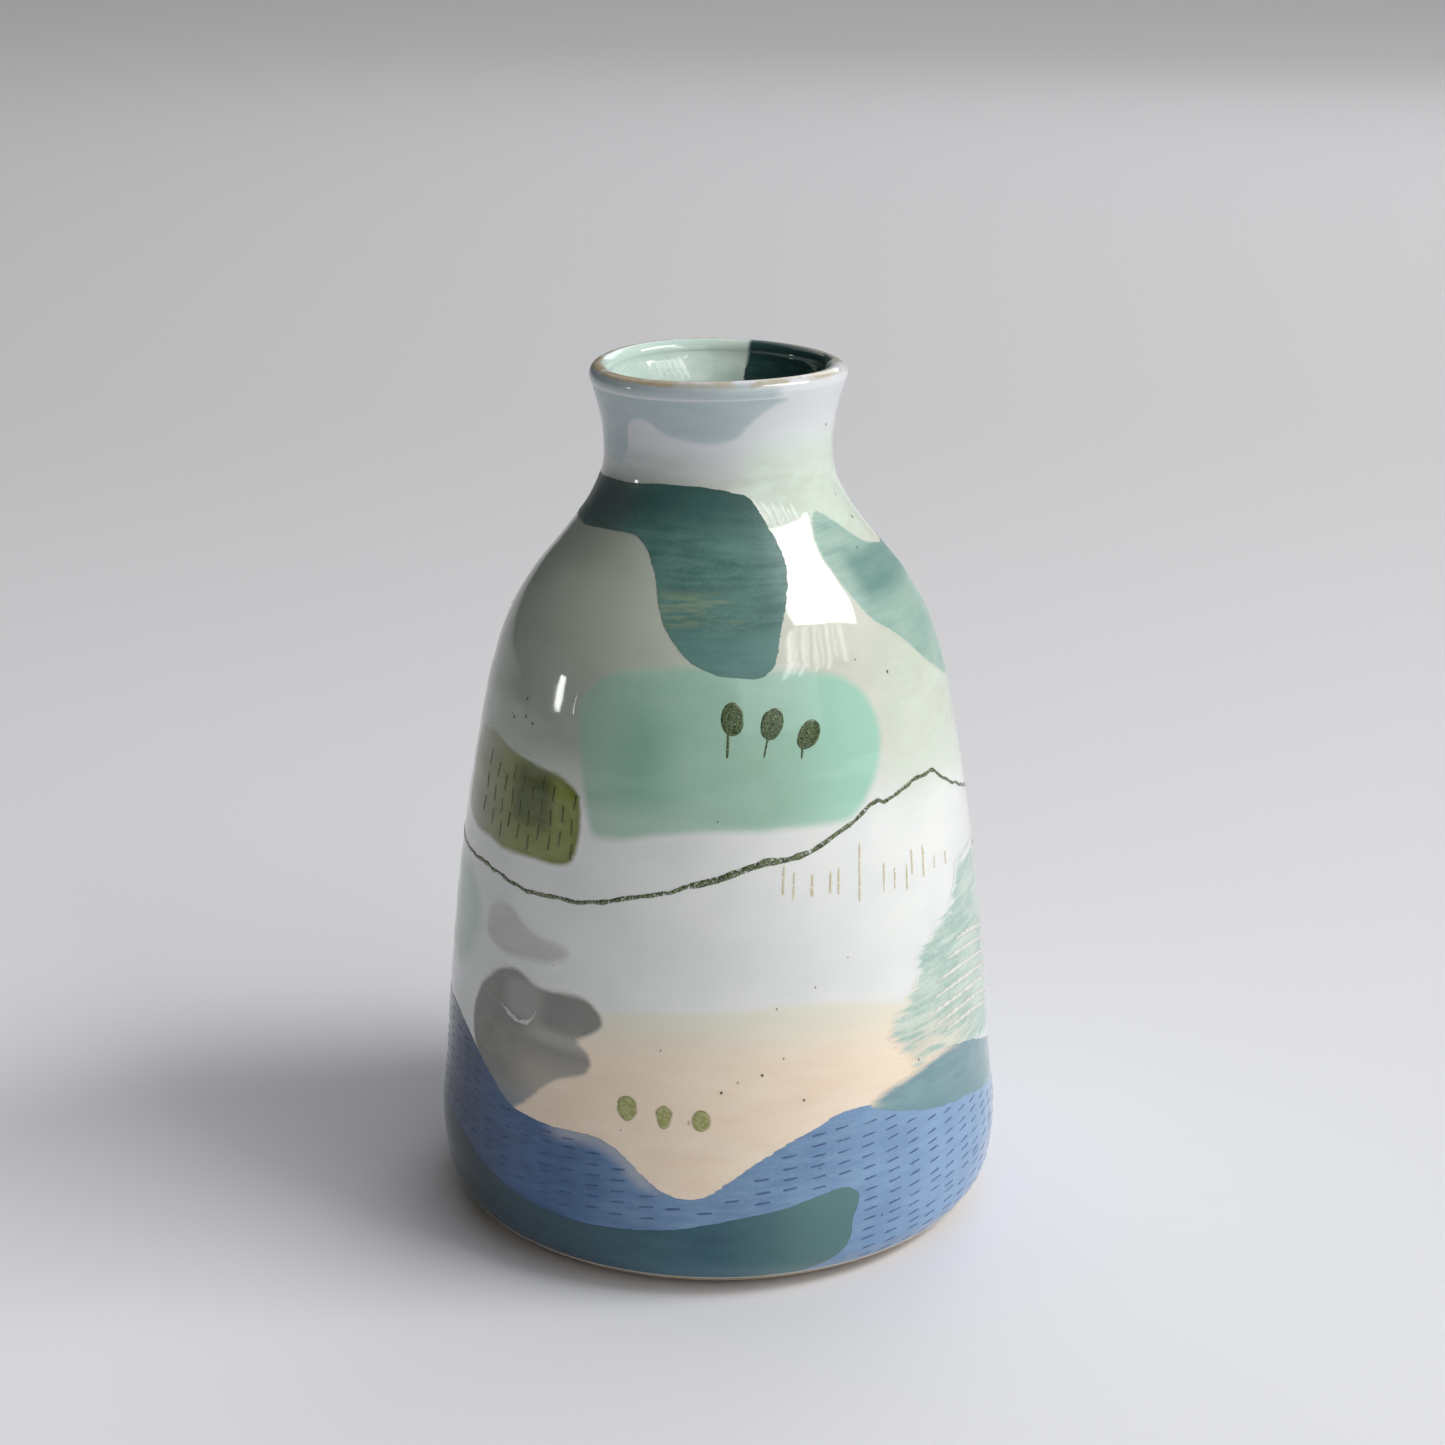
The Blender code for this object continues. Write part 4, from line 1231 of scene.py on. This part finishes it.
# %% The pencil horizon
HORIZON = [
    (-180, 50.5), (-165, 52.4), (-150, 53.1), (-135, 52.2), (-120, 50.8), (-105, 50.2), (-85, 51.2),
    (-68, 51.2), (-60, 51.5), (-50, 51.0), (-45, 50.7), (-40, 51.0), (-35, 51.1), (-30, 51.3),
    (-25, 52.0), (-20, 52.7), (-15, 53.4), (-10, 54.0), (-7, 54.8), (0, 55.8), (3, 56.5), (7, 57.3),
    (10, 57.7), (15, 57.9), (20, 58.7), (25, 59.8), (30, 61.1), (33, 62.0), (36, 62.9),
    (38.5, 63.3), (40, 62.9), (45, 63.4), (50, 64.2), (58, 64.3), (60, 64.0), (65, 62.0),
    (70, 60.7), (80, 58.4), (90, 56.6), (105, 54.6), (120, 52.2), (135, 50.4), (150, 49.4),
    (165, 49.2), (180, 50.5),
]
HORIZON_POINTS = 1500
turn = np.linspace(-180, 180, HORIZON_POINTS)
level = np.interp(turn, *np.array(HORIZON, float).T)
level = level + 0.16 * unevenness(on_wall(turn, level), 1.6, 31)
pressed = 0.32 + 0.16 * np.exp(-(((turn - 6) / 14) ** 2)) - 0.05 * np.clip((turn - 45) / 20, 0, 1)
pencil = drawn_look("olive underglaze pencil", colour(56, 68, 38), colour(118, 128, 90),
                    grain=0.3, seed=21.0, share=0.26)
horizon = np.stack([turn, level], axis=-1)[None]
strokes("pencil_horizon", horizon, pressed, pencil, taper=60, seed=32)

# %% [markdown]
# Each tree is one scribble that spirals outwards, with a short trunk under it. A filled disc would
# look stamped, and a spiral leaves the gaps of a real scribble. A short dab fills its middle.

# %% Three small trees
# Each head: the azimuth and height of its middle, half its width in degrees, half its height in
# millimetres, and its tilt in degrees. Each trunk: its top and its foot.
HEADS = [(3.5, 75.3, 2.3, 1.7, 0), (13.0, 74.6, 2.5, 1.5, 25), (21.8, 72.9, 2.7, 1.3, 30)]
TRUNKS = [((2.5, 73.9), (2.2, 70.6)), ((12.0, 73.4), (10.6, 70.5)), ((20.2, 72.2), (19.5, 70.0))]
SCRIBBLE_TURNS = 5
HEART = 1.2
t = np.linspace(0.002, 1, 220)
crowns = []
for azimuth, height, wide, tall, tilt in HEADS:
    x = wide * np.sqrt(t) * np.cos(2 * np.pi * SCRIBBLE_TURNS * t)
    y = tall * np.sqrt(t) * np.sin(2 * np.pi * SCRIBBLE_TURNS * t)
    lean = np.tan(np.radians(tilt)) / 2
    crowns.append(np.stack([azimuth + x, height + y + lean * x], axis=-1))
tree_olive = drawn_look("dark olive scribble", colour(52, 68, 38), colour(94, 112, 72),
                        grain=0.26, seed=22.0, share=0.34)
trunks = straight_lines(*zip(*TRUNKS), points=14)
strokes("tree_crowns", crowns, 0.42, tree_olive, taper=60, seed=33)
hearts = [((azimuth - HEART, height), (azimuth + HEART, height)) for azimuth, height, *_ in HEADS]
strokes("tree_hearts", straight_lines(*zip(*hearts)), 0.45, tree_olive, seed=46)
strokes("tree_trunks", trunks, 0.2, tree_olive, seed=34)

# %% [markdown]
# The dots on the sand are single dabs of the brush's tip, so each is one short fat stroke.

# %% Dots on the sand
# Each dot: the azimuth and height of its middle, then half its width and half its height.
DOTS = [
    (-18, 25.7, 1.5, 1.75), (-10.5, 25.1, 1.38, 1.65), (-3.2, 24.9, 1.26, 1.5),
    (-5.6, 24.6, 0.35, 0.4),
]
dot_olive = drawn_look("olive dots", colour(146, 150, 88), colour(174, 174, 118), grain=0.5,
                       seed=23.0, share=1.0, soft=0.65)
for number, (azimuth, height, wide, tall) in enumerate(DOTS):
    line = straight_lines([(azimuth, height - tall)], [(azimuth, height + tall)], points=21)
    strokes(f"sand_dot_{number + 1}", line, wide, dot_olive, across=15, taper=2,
            seed=35 + number)

# %% [markdown]
# The sea's dashes stand in columns, one under another, and each rises a little to the right. They
# keep clear of the sea's edge and of the shore.

# %% Dashes on the sea
SHORE_TOP = [
    (-180, 0), (-112, 0), (-105, 11.5), (-90, 14.2), (-60, 12.8), (-40, 9.8), (-20, 9.7),
    (0, 11.8), (28, 14.6), (29, 0), (180, 0),
]
COLUMN_STEP = 5.6
ROW_STEP = 1.45
DASH = 3.3
DASH_RISE = 0.22
EDGE_ROOM = 0.8
SHORE_ROOM = 0.6

columns, rows = np.meshgrid(np.arange(-178, 176, COLUMN_STEP), np.arange(3.6, 28.5, ROW_STEP))
jump = unevenness(np.stack([columns, rows, rows * 0], axis=-1), 0.7, 39)
columns = columns + 0.7 * jump
rows = rows + 0.6 * np.sin(columns * 2.3) + 0.2 * jump
ends = columns + DASH
sea_top, shore_top = np.array(SEA_TOP, float).T, np.array(SHORE_TOP, float).T
room_above = np.minimum(np.interp(columns, *sea_top), np.interp(ends, *sea_top)) - EDGE_ROOM
room_below = np.maximum(np.interp(columns, *shore_top), np.interp(ends, *shore_top)) + SHORE_ROOM
free = (rows < room_above) & (rows > room_below)
starts = np.stack([columns[free], rows[free]], axis=-1)
stops = np.stack([ends[free], rows[free] + DASH_RISE], axis=-1)
dash_blue = drawn_look("deep blue dashes", colour(66, 98, 152), colour(84, 116, 166), seed=24.0,
                       share=0.8, soft=0.16, body=0.62)
sea_lines = straight_lines(starts, stops, points=10)
strokes("sea_dashes", sea_lines, 0.2, dash_blue, seed=40)
print(f"{len(starts)} dashes on the sea")

# %% [markdown]
# The fields are dashed upright, like rows of a crop, in the same dark olive as the trees.

# %% Dashes on the fields
FIELD_COLUMNS = [-66, -61, -57, -53.5, -50, -46.5, -43, -39.8, -36.6, -33.6]
BACK_COLUMNS = [137, 141, 145, 149, 153, 157, 161]
FIELD_ROUNDED_FROM = -37
ROW_PITCH = 3.1
CROP_DASH = 2.3
starts, stops = [], []
for number, azimuth in enumerate(FIELD_COLUMNS + BACK_COLUMNS):
    top, foot = (66.0, 57.7) if azimuth < FIELD_ROUNDED_FROM else (64.7, 57.7)
    if azimuth > 0:
        top, foot = 64.4, 57.2
    for height in np.arange(top - 0.9 * (number % 3), foot, -ROW_PITCH):
        starts.append((azimuth + 0.4 * np.sin(height), height))
        stops.append((azimuth + 0.3 * np.sin(height + 1), height - CROP_DASH))
dash_olive = drawn_look("dark olive dashes", colour(66, 76, 38), colour(94, 104, 56), seed=25.0,
                        share=0.7, body=0.72)
field_lines = straight_lines(starts, stops)
strokes("field_dashes", field_lines, 0.21, dash_olive, seed=41)

# %% [markdown]
# Short ochre scratches stand under the horizon like dry grass, each cut to its own length. Their
# feet are drawn a little to the left, the more so the longer they are.

# %% Ochre scratches under the horizon
# Each scratch: its azimuth, then the heights of its top and its foot.
GRASS = [
    (14.3, 57.5, 53.5), (16.5, 56.5, 52.7), (20.5, 56.0, 52.9), (24.7, 56.0, 53.0),
    (26.7, 56.3, 52.6), (32.3, 59.0, 51.0), (38.3, 55.5, 51.5), (41.3, 54.5, 51.5),
    (45.0, 54.5, 50.8), (47.0, 56.0, 52.5), (51.0, 56.0, 51.5), (55.0, 54.0, 52.0),
    (60.0, 53.5, 51.5),
]
GRASS_SLANT = 0.15
BACK_GRASS = [(a, 50.0 - 0.6 * (a % 3), 46.5 + 0.5 * (a % 2)) for a in range(182, 232, 5)]
grass = [
    ((a, top), (a - GRASS_SLANT * (top - foot), foot)) for a, top, foot in GRASS + BACK_GRASS
]
ochre = drawn_look("ochre scratches", colour(204, 184, 128), colour(226, 214, 172), grain=0.4,
                   seed=26.0, share=0.4, soft=0.22, body=0.6)
blades = straight_lines(*zip(*grass), points=16)
strokes("grass_scratches", blades, 0.25, ochre, seed=42)

# %% [markdown]
# The cliff's scratches were dragged through the wet mint down to the pale clay, so they are cream.
# Each one is a low arch that is highest in front and falls away round the side.

# %% Scratches through the cliff
# Each scratch: its height at 55 degrees, and its start in degrees.
SCRATCHES = [
    (41.2, 60), (39.4, 55), (37.4, 51), (35.5, 49), (33.7, 47), (31.9, 49), (30.2, 53),
]
SCRATCH_MIDDLE = 55
SCRATCH_END = 90
SCRATCH_RISE = 0.027
SCRATCH_FALL = 0.005
scratch_lines = []
for number, (height, first) in enumerate(SCRATCHES):
    azimuth = np.linspace(first, SCRATCH_END, 60)
    past = azimuth - SCRATCH_MIDDLE
    level = height + past * (SCRATCH_RISE - SCRATCH_FALL * past) + 0.05 * np.sin(past / 5 + number)
    scratch_lines.append(np.stack([azimuth, level], axis=-1))
scratch_cream = drawn_look("scratches to the pale clay", colour(238, 236, 226),
                           colour(226, 230, 222), grain=0.6, seed=27.0, share=0.9, soft=0.4,
                           body=0.85)
strokes("cliff_scratches", scratch_lines, 0.5, scratch_cream, seed=43)

# %% [markdown]
# One stroke of a finger or a clean brush wiped a pale curve through the wet rock.

# %% A wiped curve on the rock
WIPED = [(-51, 34.9), (-48, 33.9), (-45, 33.4), (-42.5, 33.7), (-40.8, 34.6), (-39.5, 36.2)]
wiped_grey = drawn_look("wiped slip", colour(204, 205, 200), colour(188, 189, 184), grain=0.5,
                        seed=28.0, share=0.7, soft=0.25)
places = np.linspace(-51, -39.5, 40)
wiped = np.stack([places, np.interp(places, *np.array(WIPED).T)], axis=-1)[None]
strokes("rock_wipe", wiped, 0.42, wiped_grey, across=7, taper=4, seed=44)

# %% [markdown]
# Iron in the clay bled through in small dark specks. Those in front have their own places, and a
# few more are scattered at random behind.

# %% Iron specks
SPECKS = [
    (27.5, 44.6), (20.0, 41.5), (11.8, 39.3), (-36.0, 42.4), (8.7, 30.8), (3.9, 30.0), (0.7, 28.7),
    (-11.3, 33.9), (13.0, 32.8), (17.0, 27.0), (44.5, 28.3), (41.5, 14.4), (33.5, 9.0),
    (35.5, 6.2), (49.5, 11.0), (20.0, 17.5), (48.0, 78.2), (38.0, 80.6), (62.0, 91.7), (70.0, 97.7),
    (75.0, 94.6), (65.0, 107.0), (0.0, 63.0), (-53.3, 74.3), (-52.5, 72.1), (-49.5, 71.6),
    (-57.6, 71.4), (-58.4, 71.7), (-19.2, 22.7),
]
SCATTERED = 26
chance = np.random.default_rng(7)
loose = np.stack([chance.uniform(90, 270, SCATTERED), chance.uniform(6, 108, SCATTERED)], axis=-1)
spots = np.concatenate([SPECKS, loose])
half = chance.uniform(0.12, 0.24, (len(spots), 1))
reach = np.concatenate([half * 0, half], axis=-1)
speck_look = drawn_look("iron specks", colour(84, 78, 58), colour(116, 108, 84), seed=29.0,
                        share=1.0, soft=0.14)
specks = straight_lines(spots - reach, spots + reach, points=7)
strokes("iron_specks", specks, half, speck_look, across=7, taper=2, seed=45)
